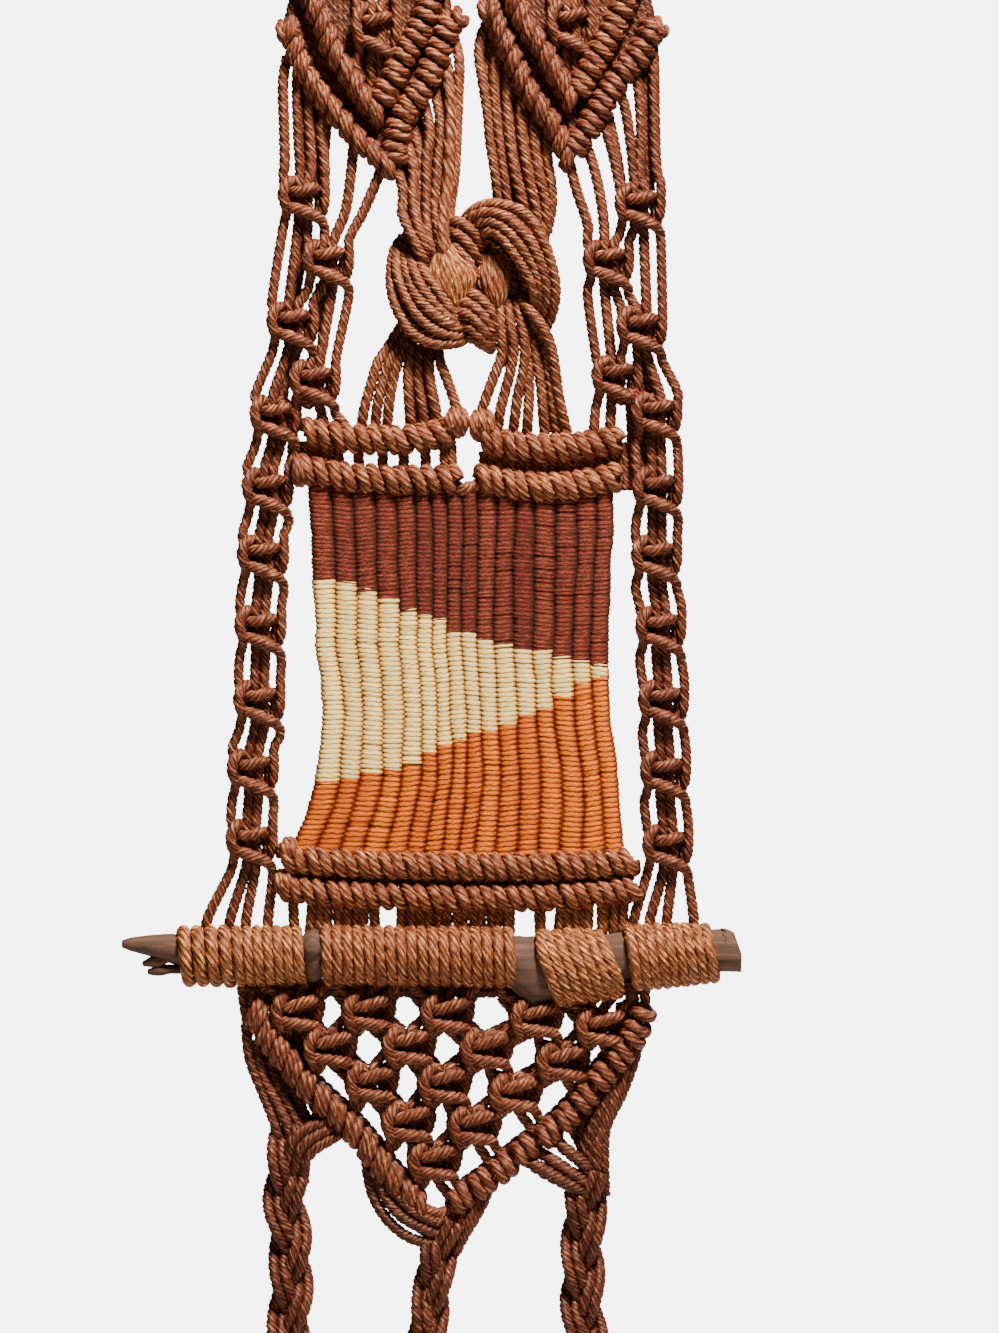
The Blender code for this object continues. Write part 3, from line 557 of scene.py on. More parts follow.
COLUMN_KNOT = knot_shape("""
-9.1,0.8,10,2.15 -8.6,0.6,7.2,2.15 -5.6,-1.8,3.4,2.2 -2.4,-4.2,2.8,2.3 1.2,-4.4,3.6,2.3 4.2,-3.2,4.6,2.3
5.2,0.2,4,2.1 2.4,3.4,1.8,2.1 -3,4.2,0,2.1 -6.8,1.4,-1.8,2.2 -6.2,-2.2,-3.8,2.4 -2.4,-4.4,-5,2.6
2,-4.8,-6.6,2.6 5.8,-3.6,-8.2,2.4 8.4,-1.2,-10.4,2.2 9.1,0.6,-14,2.15 /
9.1,0.8,10,2.15 9.2,0.8,4.2,2.15 9,1.2,-2,2.15 7.6,2.8,-6,2.15 4,4.8,-6.5,2.1 0,5.6,-3,2.1
-3.6,4.8,2.2,2.1 -5.8,1.8,6.8,2.15 -5.4,-2.6,7.9,2.2 -7.9,-4.8,5.6,2.3 -9,-5.2,1.8,2.3
-8.3,-4.6,-1.8,2.3 -7.2,-2.4,-4.8,2.2 -7.9,0.2,-8,2.15 -9.1,0.8,-12.6,2.15 /
-6.4,3.6,6.5,2.3 -6.4,4,-6,2.3 /
6.6,3.6,6.5,2.3 6.6,4,-6,2.3
""")
NET_KNOT = knot_shape("""
-7.6,0.8,7.6,2.2 -6.4,-0.4,4.6,2.2 -3.4,-3.4,1.9,2.3 0.6,-4.8,2.8,2.5 5,-4.6,4.2,2.5 8,-2.4,5,2.4
7.6,1.2,4.2,2.2 4,3.6,2,2.1 -1,4.4,0.2,2.1 -5.4,2,-1.4,2.2 -4.8,-2.6,-3.2,2.4 -0.6,-4.8,-4.2,2.5
4.2,-4.6,-4.8,2.5 8,-2.2,-5.6,2.4 9.6,0.4,-8.4,2.2 /
8.6,0.8,7.2,2.2 7.8,2.6,3.4,2.1 3,5.6,0.2,2.1 -2.6,5.2,3.4,2.1 -4.6,1.2,6.6,2.2 -3.9,-3.2,6.2,2.4
-5.8,-5,4,2.5 -6.9,-5.3,0.6,2.5 -6.2,-4.8,-2.8,2.4 -4.8,-2.6,-6,2.3 -6.6,0.4,-8.4,2.2 /
-6.4,3.4,9,2.3 -7.6,3.8,0,2.5 -4.8,4,-8,2.3 /
8.4,3,10,2.3 9.8,3.4,1.5,2.6 6.4,4,-7.5,2.4 /
5.4,4.6,6,2.1 5.8,4.8,-1,2.4 4.6,4.8,-7,2.1
""")
FILLER = 2.0
KNOT_THICK = 1.13
KNOT_JITTER = 0.25


def square_knot(skein, four, place, shape, wide=1.0, high=1.0):
    """Ties four cords at a place, and gives them back in their new order, left to right."""
    left, fill_left, fill_right, right = four
    scale = np.array([wide, 1.0, high, KNOT_THICK])
    here = np.append(skein.chance.normal(0, KNOT_JITTER, 3) + place, 0.0)
    left += list(shape[0] * scale + here)
    right += list(shape[1] * scale + here)
    for loop in shape[2:]:
        skein.lay(loop * scale + here)
    top, foot = shape[0][0][2] * high * 0.8, shape[0][-1][2] * high * 0.72
    for cord, side in ((fill_left, -FILLER), (fill_right, FILLER)):
        cord += [place + (side, 0.6, top), place + (side, 0.9, 0.0), place + (side, 0.6, foot)]
    return [right, fill_left, fill_right, left]


# %% [markdown]
# ## The straps
# The hanging is carried by two straps. Each is a V of two double bars under a short heading, with a
# square knot inside the V. The cords of the left arms are hitched so that their turns stand upright, and
# those of the right arms so that they cross the bar. Nothing of the heading shows in the picture, so it
# is finished plainly, as one more bar. Every bar is a route of places in the picture, written as text.

# %% Strap tables
ARM_NAMES = ("outer_left", "inner_left", "outer_right", "inner_right")
ARMS = {
    "left": dict(zip(ARM_NAMES, routes("""
287,22 293,44 301,66 315,88 331,108 346,126 360,142 377,156 395,172 /
300,-34 306,-14 313,5 323,27 333,52 349,75 362,96 372,108 383,119 /
394,164 396,148 398,133 404,114 416,98 427,79 437,56 446,34 452,20 /
381,104 386,92 395,75 404,56 416,38 426,14 434,-12 442,-34
"""))),
    "right": dict(zip(ARM_NAMES, routes("""
489,2 492,14 503,38 515,64 528,91 540,108 552,124 561,142 571,166 /
500,-34 508,-12 516,8 524,24 536,40 546,56 556,74 566,90 574,106 /
572,152 580,140 590,125 599,110 611,90 624,72 639,55 648,38 654,20 /
576,94 584,80 592,66 601,50 611,32 621,10 630,-12 640,-34
"""))),
}
HEADING = {"left": (287, 463), "right": (484, 658)}
STRAP_KNOT_AT = {"left": (376, 30), "right": (571, 26)}
BEADS = {"left": [(290, 30, 9), (455, 20, 8)], "right": [(491, 9, 8), (655, 30, 8)]}
HEADING_Y = -45.5
LEFT_TURNS = {"high": 3.0, "slant": -0.80, "pairing": 0.18, "cord": 2.25}
RIGHT_TURNS = {"high": 3.9, "slant": 0.38, "pairing": 0.10, "cord": 2.6}
ARM_TURNS = {"outer_left": 20, "inner_left": 20, "outer_right": 14, "inner_right": 13}


# %% Building the straps
def build_strap(side, seed):
    """The heading, the V of double bars and what is knotted inside it."""
    # The strap's cords are painted a little darker: painted shade.
    skein = Skein(seed, -0.6)
    start, end = HEADING[side]
    wind(skein, picture_line([(start + 4, HEADING_Y), (end - 4, HEADING_Y)]), 31, 3.7, 3.9)
    for name, arm in ARMS[side].items():
        line = picture_line(arm, -1.0 if name.startswith("outer") else -2.0)
        wind(skein, line, ARM_TURNS[name], deep=4.2, **(LEFT_TURNS if name.endswith("left") else RIGHT_TURNS))
    for x, y, reach in BEADS[side]:
        wrap = [
            (x - 3, y - reach, 1), (x - 4, y - 2, -3.5), (x - 1, y + reach - 2, -4), (x + 3, y + reach - 3, 0),
            (x + 4, y, 3),
        ]
        for shift in (-2.4, 2.4):
            skein.lay(picture_line(wrap) + (shift, 0, shift * 0.4), BEAD_CORD, BAR_LAY)
    hang_inside(skein, side)
    skein.piece(f"strap_{side}", "knotwork_upper")


def hang_inside(skein, side):
    """The cords inside the V: down from the heading, through the square knot, and into the bars."""
    x, y = STRAP_KNOT_AT[side]
    cords = [
        list(picture_line([(x - 24 + 16 * k, HEADING_Y + 4, 1.5), (x - 19 + 12.6 * k, y - 30, 0.5)]))
        for k in range(4)
    ]
    cords = square_knot(skein, cords, seen(x, y, -0.6), COLUMN_KNOT, 0.96, 1.25)
    for cord, (across, down) in zip(cords, ((-12, 50), (-4, 60), (6, 62), (15, 52))):
        skein.lay(cord + [seen(x + across, y + down, 2.0)])
    # Painted shade: the cords behind the bars and between the arms are made almost black, to stand for the shadow
    # there.
    skein.painted_light = -1.8
    top = seen(0, HEADING_Y)[2]
    for arm in ("inner_left", "inner_right"):
        for foot in smooth(picture_line(ARMS[side][arm]), 3.9)[2:-3]:
            skein.lay([(foot[0], 3.6, top), foot + (0, 3.4, -1.0)])
    for arm in ("left", "right"):
        above, below = (smooth(picture_line(ARMS[side][f"{bar}_{arm}"])) for bar in ("inner", "outer"))
        for share in np.linspace(0.02, 0.98, 17):
            start, end = above[int(share * (len(above) - 1))], below[int(share * (len(below) - 1))]
            skein.lay([start + (0, 3.2, 0), end + (0, 3.2, 0)])


for number, side in enumerate(HEADING):
    build_strap(side, 11 + number)

# %% [markdown]
# ## The side columns
# From each strap, cords run down both edges of the hanging through eleven square knots. The first five
# sit alternately left and right and trade cords, and the last six hang one under another. Tracing each
# cord from knot to knot keeps the gaps between the cords where they are on the real thing. A few darker
# cords behind them close the gaps that are closed there.

# %% Side column tables
SIDES = ("left", "right")
COLUMNS = dict(zip(SIDES, routes("""
303,200 328,262 293,325 315,382 276.5,418 268.5,489 263.5,557 260.5,628 259.5,703 253.5,772 251.5,841 /
639,206 609,263 642,330 616,378 656,416 657,490 657,558 661,630 663,703 665,772 668,847
""")))
OUTER_FEEDS = {
    "left": routes("""
287,56 283,81 284,130 284.5,165 /
297,72 297,97 298.5,142 300,172 /
309,92 309,118 311,162 310,175 /
322,106 321,132 324,160 325,172
"""),
    "right": routes("""
601,108 606,130 612,150 617,172 /
617,84 625,108 631,146 634,178 /
634,62 638,84 641,127 640,178 /
652,40 654,60 655,127 657,172
"""),
}
INNER_FEEDS = {
    "left": routes("354,138 351,172 345,212 / 384,160 376,182 362,214"),
    "right": routes("569,160 576,188 588,226 / 584,140 593,164 601,200 604,226"),
}
COLUMN_BEHIND = {
    "left": routes("""
303,84 303,130 304,188 /
316,104 318,140 318,188 /
327,116 324,150 322,186 /
303,235 299,268 294,302 /
320,282 322,312 323,348 /
291,352 286,376 281,402 /
292,426 292,450 291,476
"""),
    "right": routes("""
646,60 648,120 650,190 /
608,112 616,150 622,188 /
645,350 648,375 652,400 /
630,390 632,430 633,490 /
622,442 625,460 627,490 /
643,424 643,450 646,482 /
637,360 641,385 646,408
"""),
}
STICK_FEET = dict(zip(SIDES, routes("207,934 230,934 246,934 268,934 / 634,934 650,934 667,934 694,934")))
BAR_FEET = dict(zip(SIDES, routes("324,424 344,424 / 594,430 610,432")))


# %% Tracing the cords down a column
def build_column(side, seed):
    """All the cords of one side column, from the strap to the stick."""
    # Painted shade: the whole column is made darker, as it lies further back.
    skein = Skein(seed, -0.9)
    knots = COLUMNS[side]

    def tie(cords, number):
        return square_knot(skein, cords, seen(*knots[number]), COLUMN_KNOT)

    outer = [list(picture_line(feed, 1.0)) for feed in OUTER_FEEDS[side]]
    inner = [list(picture_line(feed, 1.0)) for feed in INNER_FEEDS[side]]
    for route in COLUMN_BEHIND[side]:
        skein.trace(route, 5.0)
    outer = tie(outer, 0)
    flip = side == "right"
    for number in (1, 2, 3):
        if number % 2:
            tied = tie((inner + outer[:2]) if flip else (outer[2:] + inner), number)
            inner, back = (tied[:2], tied[2:]) if flip else (tied[2:], tied[:2])
            outer = (back + outer[2:]) if flip else (outer[:2] + back)
        else:
            outer = tie(outer, number)
    for cord, (x, y) in zip(inner, BAR_FEET[side]):
        skein.lay(cord + [seen(x, y, 1.0), seen(x, y + 14, 2.5)])
    for number in range(4, len(knots)):
        outer = tie(outer, number)
    for cord, (x, y) in zip(outer, STICK_FEET[side]):
        skein.lay(cord + [seen(x, y - 14, 1.0), seen(x, y, 2.0)])
    skein.piece(f"side_column_{side}", "knotwork_upper")


for number, side in enumerate(SIDES):
    build_column(side, 21 + number)

# %% [markdown]
# ## The centre knot
# The inner cords of the two straps meet in one big knot. Flat runs of three to five cords pass over
# and under each other. Two of them have come untwisted and show as soft patches of loose fibre, made bright with
# painted light.

# %% Centre knot tables: the cords that come down
LEFT_DOWN = routes("""
394,150,2 396,168,-1 402,186,-2 403,201,-3 402,213,-4 408,229,-6 416,245,-7 424,261,-5 430,272,2 /
404,140,2 410,154,-1 414,174,-2 413,192,-3 414,207,-4 418,226,-6 424,243,-6 431,257,-3 436,266,3 /
412,126,3 421,160,1 420,200,0 423,240,0 428,258,3 /
424,102,3 430,132,0 427,160,-1.5 427,186,-2 427,205,-3 428,235,-5 433,252,-5 438,264,-1 /
434,86,3 441,128,0 439,156,-1.5 437,180,-2.5 435,205,-3.5 437,223,-5 441,245,-6 444,260,-3 /
452,30,2 459,60,0 458,101,0.5 456,150,0 454,180,-1 450,210,-1.5 448,244,-2
""")
LOOSE_DOWN = places("""
445,58,2 451,100,0 450,150,-2.5 448,185,-3.5 444,210,-5 443,230,-6.5 445,250,-7 450,266,-4
""")
RIGHT_DOWN = routes("""
491,14,3 481,36,2.5 479,56,2 483,83,1 488,115,1 490,140,1 495,172,0.5 498,202,2 497,222,5 /
500,36,3 495,62,2 494,90,1.5 497,121,1 501,150,1 505,180,1 507,204,2 506,226,5 /
511,58,3 507,86,2 508,118,1 511,145,0 517,180,-0.5 523,203,0.5 526,222,4 /
524,84,3 521,112,1.5 523,140,0.5 527,164,0 531,186,0.5 536,208,1.5 540,232,4 /
536,104,3 534,130,1.5 536,155,1 540,178,1 545,200,2 546,222,3 543,246,5 /
548,122,3 547,146,2 548,164,2 551,182,2 552,204,3 547,232,5 /
496,30,6 488,60,5 489,100,4.5 494,140,4 501,185,4 504,220,6 /
514,66,6 514,104,5 517,150,5 526,190,5 532,225,6 /
541,116,6 541,160,5 547,190,5 544,225,6
""")
BEHIND = routes("""
506,206,4 524,216,4 538,234,4 545,260,5 /
508,216,3 520,224,3 530,238,3 538,254,4 /
450,224,4 468,236,3 482,250,4 /
446,306,4 466,319,3 484,332,4 /
503,330,4 508,346,4 510,366,4 /
535,330,4 541,350,4 544,370,4 /
414,350,4 415,380,4 418,430,4 /
425,352,4 427,380,4 430,430,4 /
546,396,4 550,432,4 /
488,30,6 490,60,6 496,110,6 /
500,52,6 500,100,6 504,160,5 /
445,66,6 443,100,6 442,140,6 /
420,96,6 417,125,6 421,160,5 428,200,5 /
410,120,6 408,150,6 414,190,5 424,225,5 /
506,70,6 506,120,5 510,160,5 516,210,5 /
530,100,6 531,140,5 537,180,5 540,215,5 /
462,238,4 482,246,3 500,264,3 514,288,3 520,316,4 /
478,226,4 500,234,3 522,256,3 534,284,3 536,316,4 /
470,252,4 488,268,4 502,290,4 508,320,5 /
474,240,5 494,256,5 508,276,5 515,300,5 /
462,262,5 476,284,4 486,306,4 496,330,4 /
396,256,4 402,280,3 416,304,3 436,320,3 458,328,3 /
408,256,4 418,280,4 434,300,4 452,314,4 466,320,4 /
390,276,3 399,304,3 418,328,2 444,340,2 464,340,3 /
420,262,5 434,282,5 450,300,5 468,312,5 /
440,262,5 452,290,5 458,316,5 462,338,4 /
424,330,4 444,332,4 466,334,4 490,334,4 /
486,230,4 505,244,4 521,266,4 528,300,4 /
480,236,5 500,250,5 514,274,5 522,306,5 /
402,156,6 406,184,5 409,212,4 416,244,4 /
412,134,6 416,172,5 420,212,4 426,248,4 /
424,118,6 426,150,5 430,200,4 434,246,4 /
436,122,6 436,150,5 438,190,4 442,244,4 /
450,90,6 449,140,5 446,190,4 446,240,4
""")
print(len(LEFT_DOWN) + len(RIGHT_DOWN), "cords come down to the centre knot,", len(BEHIND), "more lie behind")

# %% Centre knot tables: its lobes and the fans under it
RIGHT_LOBE = routes("""
463,222,3 470,214,-3 479,208,-6 492,205,-8 506,207,-9 521,213,-9.5 534,225,-9.5 543,242,-9 550,261,-8
555,283,-6.5 555,301,-4.5 550,320,0 541,334,4 /
463,229,3 469,220,-4 479,215,-7 491,214,-9 504,218,-10 517,228,-10.5 529,242,-10.5 538,259,-9.5
544,277,-8 546,295,-6 543,312,-2 535,326,3 /
470,231,2 480,223,-6 492,223,-8.5 505,231,-10 517,243,-10.3 527,257,-9.6 535,273,-8.4 539,289,-6.6
538,306,-3 531,318,2 /
478,238,2 486,232,-6 496,234,-8.5 506,244,-9.8 515,256,-9.6 524,270,-9 531,283,-8 535,297,-5.5
534,310,-1
""")
LEFT_LOBE = routes("""
418,246,3 419,262,-4 427,277,-8 437,290,-9 444,302,-9 452,312,-8 459,321,-5 464,328,0 /
413,240,4 411,258,-3 415,275,-8 422,289,-9.5 431,301,-9.8 440,311,-9.5 450,319,-8.5 459,326,-5 465,332,0
/
409,238,4 404,256,-1 407,273,-6 412,288,-8,2.7 421,302,-9.6,2.9 431,313,-10.3,3 442,321,-10,2.9
453,327,-9,2.6 461,330,-5 466,332,0 /
406,234,5 398,251,1 397,270,-4.5 402,289,-7.5 410,306,-9.2 420,319,-9.8 432,329,-9.8 445,335,-9
456,337,-7.5 464,335,-2 467,331,3 /
402,236,6 394,250,3 391,268,-1 391,287,-4.5 395,305,-6.8 402,320,-8 411,333,-8.4 423,341,-8.6
437,345,-8.4 450,345,-7.6 461,342,-5 466,336,1
""")
SHORT_ARCS = routes("""
445,222,0 450,221,-4 462,224,-6 472,232,-6 479,242,-3 483,252,2 /
446,231,0 453,232,-4 461,237,-6 469,246,-6.5 476,257,-4 480,266,1 /
446,240,1 454,243,-3 461,252,-5.5 468,263,-6 474,275,-4 477,286,1 /
450,250,2 459,260,-3 466,272,-4.5 472,288,-2 /
462,297,-2 470,294,-7 480,300,-8.5 488,309,-8 493,321,-6 495,334,-1 /
456,305,-4 464,303,-7.5 474,308,-9 483,317,-9 489,328,-7 493,340,-2 /
455,315,-5 463,313,-8 472,318,-9 481,327,-8.8 488,337,-6.5 492,346,-2 /
460,326,-4 468,327,-7 477,334,-7.6 486,342,-6 493,348,-2 /
464,337,-2 472,339,-5 482,345,-5 492,350,-1
""")
FANS = routes("""
498,298,2 500,312,-1 501,332,-2 502,354,-1 493,379,-0.5 486,398,0 481,414,1 478,430,3 /
508,300,2 509,312,-1 511,328,-2 514,347,-1.5 510,373,-1 505,392,0 500,412,0.5 498,432,3 /
517,298,2 518,308,-1 522,328,-2 525,347,-2 523,373,-1.5 518,394,-1 515,417,0 513,434,3 /
522,330,3 525,350,1 528,368,0 529,392,0 528,417,0.5 527,434,3 /
527,318,3 532,338,1 537,361,0.5 541,386,0.5 543,411,0.5 545,434,3 /
520,298,1 527,308,-4 536,319,-5 545,332,-4.5 551,347,-3.5 555,369,-2 558,392,-1 562,412,0 568,436,3 /
524,306,3 534,322,-1 543,337,-1 548,356,0 550,378,0.5 553,404,1 557,434,3 /
406,318,6 394,336,4 386,350,1 378,362,0 370,388,0 364,410,1 361,430,3 /
410,326,6 400,342,3 392,356,0 385,375,0 378,402,0.5 375,430,3 /
413,334,5 405,347,2 399,359,0 393,380,0 389,405,0.5 387,430,3 /
412,342,3 409,358,0 408,378,-0.5 409,400,0 411,430,3 /
420,346,3 418,361,0 418,380,0 422,405,0.5 425,430,3 /
430,348,3 429,361,-0.5 430,380,-0.5 435,405,0 438,426,2 /
438,350,3 440,362,-1 446,377,-1 453,397,-1 457,411,-1 460,424,1
""")
LOOSE_LAY = 40.0


# %% Building the centre knot
def loose_patch(skein, top, middle, foot, count, depth):
    """Untwisted cord: strands that spread out from one place and draw together again at another."""
    for share in np.linspace(-1, 1, count):
        lift = depth + 2.2 * share * share
        x = foot[0] + share * foot[2]
        route = [
            (top[0] + share * top[2], top[1], lift + 2.5), (middle[0] + share * middle[2], middle[1], lift),
            (x, foot[1], lift + 2.0), (foot[0] + share * foot[2] * 0.5, foot[1] + 7, depth + 8),
        ]
        skein.trace(route, 0, 2.3, LOOSE_LAY)


# The knot's cords are painted a little lighter: painted light.
skein = Skein(31, 0.1)
for route in LEFT_DOWN + RIGHT_DOWN + BEHIND + FANS:
    skein.trace(route)
skein.trace(LOOSE_DOWN, 0, 3.0, 26.0)
for route in RIGHT_LOBE + LEFT_LOBE:
    skein.trace(route)
for route in SHORT_ARCS:
    skein.trace(route, lay=14.0)
# Painted light: the first loose patch is made much lighter, the second only a little.
skein.painted_light = 2.0
loose_patch(skein, (446, 248, 4), (452, 275, 19), (454, 303, 8), 8, -9.0)
skein.painted_light = 0.4
loose_patch(skein, (491, 256, 9), (493, 280, 13), (494, 304, 6), 6, -4.5)
skein.piece("centre_knot", "knotwork_upper")

# %% [markdown]
# ## The double bars
# Two double bars hold the panel from above and one long double bar closes it below. Short cords run
# between the rows, with small gaps between them, and from the lower bar down to the stick.

# %% Bars over the panel
UPPER_ROWS = {
    "left": routes("304,431 340,437 380,440 420,438 453,430 / 299,468 340,476 385,480 430,480 460,480"),
    "right": routes("478,437 520,447 570,447 622,440 / 478,478 520,486 570,486 620,476"),
}
UPPER_SHORTS = {
    "left": [304, 310, 317, 324, 331, 338, 358, 382, 403, 425, 444, 451],
    "right": [484, 491, 498, 505, 513, 520, 528, 536, 544, 552, 560, 568, 576, 584, 592, 600, 608, 616],
}

# The upper bars are painted a little lighter: painted light.
skein = Skein(41, 0.2)
for side, (upper, lower) in UPPER_ROWS.items():
    wind(skein, picture_line(upper), 11.5, 4.1, 4.2, -0.3, 0.06, 2.9)
    wind(skein, picture_line(lower), 11.5, 4.3, 4.4, -0.3, 0.04, 2.95)
    for x in UPPER_SHORTS[side]:
        skein.trace([(x, upper[1][1] + 4), (x + 1, lower[1][1] - 3)], 2.0)
skein.trace([(452, 483, 1), (462, 489, -2), (482, 483, 1)], 0, 3.0)
for x, y, wide, high, count in ((457, 422, 6, 12, 3), (482, 425, 7, 13, 3), (300, 470, 5, 13, 2)):
    bead(skein, x, y, wide, high, count)
skein.piece("upper_bars", "knotwork_upper")

# %% Bars under the panel
LOWER_ROWS = routes("""
281,858 330,862 400,865 470,866 540,866 600,864 634,861 /
276,886 330,893 400,896 470,898 540,897 600,893 638,887
""")
LOWER_SHORTS = [
293, 313, 320, 329, 338, 347, 356, 365, 374, 402, 411, 420, 429, 438, 447, 456, 465, 474, 483, 492, 501,
508, 510, 538, 541, 562, 565, 574, 583, 589, 602, 606, 615, 624,
]

# The lower bars are painted lighter: painted light.
skein = Skein(42, 0.5)
wind(skein, picture_line(LOWER_ROWS[0]), 28, 4.2, 4.3, -0.3, 0.03, 2.9)
wind(skein, picture_line(LOWER_ROWS[1]), 28, 3.9, 4.1, -0.3, 0.03, 2.8)
skein.trace([(284, 872), (330, 878), (470, 882), (600, 879), (634, 874)], 3.0, 3.0)
for x in LOWER_SHORTS:
    lean = skein.chance.normal(0, 2.0)
    skein.trace([(x, 898, 2), (x + lean * 0.4, 912, 1.5), (x + lean, 934, 2)])
for x, y in ((289, 850), (283, 882)):
    bead(skein, x, y, 6, 9, 2)
skein.piece("lower_bars", "knotwork_upper")

# %% [markdown]
# ## Hitches round the stick
# Each cord is hitched twice round the driftwood, so the stick shows only between four groups of turns
# and at its ends. The turns press against each other and are slightly bowed.

# %% Stick hitches
STICK_GROUPS = [
    ([(180, 956), (234, 956)], 4, [10.8, 11.0], [9.6, 9.9], 0.0, 3.0),
    ([(234, 956), (304, 955)], 7, [11.0, 10.8], [9.8, 10.0], 0.0, 2.6),
    ([(323, 955), (420, 956), (515, 957)], 18, [10.9, 10.9, 11.2], [10.1, 10.1, 10.3], 0.0, 2.65),
    ([(543, 968), (580, 966), (616, 963)], 7, [14.4, 14.4, 12.8], [10.8, 10.8, 10.6], -0.28, 2.9),
    ([(629, 958), (675, 955), (714, 953)], 9, [12.6, 12.0, 10.8], [10.6, 10.4, 10.0], -0.05, 2.7),
]

# Painted light: the hitches are made much lighter, as they stand proud in front and catch the light.
skein = Skein(51, 1.5)
for core, turns, high, deep, slant, cord in STICK_GROUPS:
    wind(skein, picture_line(core), turns, high, deep, slant, 0.0, cord, 0.10, BAR_LAY, 0)
skein.piece("stick_hitches", "knotwork_lower")

# %% [markdown]
# ## The net
# Under the stick the cords are knotted into a net: five square knots, then four, three, two and one,
# each taking the two right cords of one neighbour above and the two left cords of the other. A pair of
# slanting cords behind joins each knot to the next, as the real ones do where they cross. A V of
# hitches catches the cords that leave the net's edges.

# %% Net tables
NET = routes("""
294,1012 366,1012 444,1014 534,1019 598,1027 /
327,1048 406,1046 484,1050 560,1062 /
368,1084 442,1084 513,1093 /
406,1122 472,1126 /
432,1162
""")
NET_WIDE, NET_HIGH = 1.12, 1.10
NET_LEFT, NET_RIGHT = routes("""
252,1006 262,1024 272,1042 289,1062 308,1086 330,1107 351,1127 370,1150 387,1172 406,1191 424,1208 /
450,1206 465,1195 484,1182 506,1166 526,1149 543,1137 560,1124 577,1107 594,1087 611,1065 626,1048
638,1028 644,1008
""")
NET_TOP = 972
SHOULDER, FOOT = (17, 2), (3, 15)
LINK_CORD, LINK_DEPTH = 2.4, 4
EDGE_CORDS = ((240, 244, 248), (250, 252, 256), (262, 262, 266), (276, 278, 284), (632, 634, 630), (644, 645, 640))


# %% Building the net
def link(skein, upper, lower):
    """The pair of cords that slants from one knot down to the next, a little apart."""
    (ax, ay), (bx, by) = upper, lower
    way = 1 if bx > ax else -1
    for (across, down), (back, up) in ((SHOULDER, FOOT), (FOOT, SHOULDER)):
        skein.trace([(ax + way * across, ay + down), (bx - way * back, by - up)], LINK_DEPTH, LINK_CORD)


def tie_net(skein, four, x, y):
    """A knot of the net, tied at a place in the picture."""
    return square_knot(skein, four, seen(x, y), NET_KNOT, NET_WIDE, NET_HIGH)


# Painted shade: the slanting links behind the knots are made darker.
skein = Skein(61, -1.6)
for x, y in NET[0]:
    link(skein, (x - 37, y - 37), (x, y))
    link(skein, (x + 37, y - 37), (x, y))
for row, under in zip(NET, NET[1:]):
    for k, knot in enumerate(under):
        link(skein, row[k], knot)
        link(skein, row[k + 1], knot)
skein.trace([(288, 1024), (297, 1042), (306, 1060)], 5)
for edge, shift in ((NET_LEFT, 9), (NET_RIGHT, -9)):
    skein.trace([(x + shift, y - 5) for x, y in edge[1:-1]], 4, 3.2)
# Painted shade: the net's knots are made darker.
skein.painted_light = -0.8
above, loose = [], []
for x, y in NET[0]:
    four = [
        list(picture_line([(x - 36 + 24 * k, NET_TOP, 3), (x - 32 + 21.3 * k, y - 27, 2)])) for k in range(4)
    ]
    above.append(tie_net(skein, four, x, y))
for row in NET[1:] + [[]]:
    loose += [(cord, -1) for cord in above[0][:2]] + [(cord, 1) for cord in above[-1][2:]]
    above = [tie_net(skein, above[k][2:] + above[k + 1][:2], x, y) for k, (x, y) in enumerate(row)]
left, right = smooth(picture_line(NET_LEFT)), smooth(picture_line(NET_RIGHT))
for cord, side in loose:
    arm = left if side < 0 else right
    end = np.asarray(cord[-1])[:3]
    lower = arm[arm[:, 2] < end[2] - 2.0]
    lower = lower if len(lower) else arm[:1]
    target = lower[np.argmin(np.linalg.norm(lower - end - (side * 4, 0, -6), axis=1))]
    skein.lay(cord + [target + (0, 1.5, 0)])
wind(skein, picture_line(NET_LEFT, -0.8), 25, 3.9, 4.1, -0.5, 0.12, 2.6)
wind(skein, picture_line(NET_RIGHT, -0.8), 21, 3.9, 4.1, 0.38, 0.12, 2.7)
for low in (0, 8):
    skein.trace([(414, 1202 + low, 2), (428, 1211 + low, -1), (442, 1213 + low, -1), (458, 1202 + low, 2)], 0, 3.0)
for x, middle, foot in EDGE_CORDS:
    skein.trace([(x, NET_TOP), (middle, 1004), (foot, 1028)], 3)
# Painted shadow: two near-black cords under the stick stand for the shadow that the hitches throw.
skein.painted_light = -3.0
for down in (0, 6):
    skein.trace([(246, 983 + down, 3), (320, 985 + down, 4), (500, 986 + down, 4), (644, 983 + down, 3)], 0, 3.0)
skein.piece("net", "knotwork_lower")

# %% [markdown]
# ## The braids
# The cords that come out of the V are gathered into three flat braids. Each part of a braid is a pair of
# cords that swings from side to side, a third of a turn behind its neighbour. Their ends lie below the
# picture, so each is closed with a wrapped knot and a short tassel.

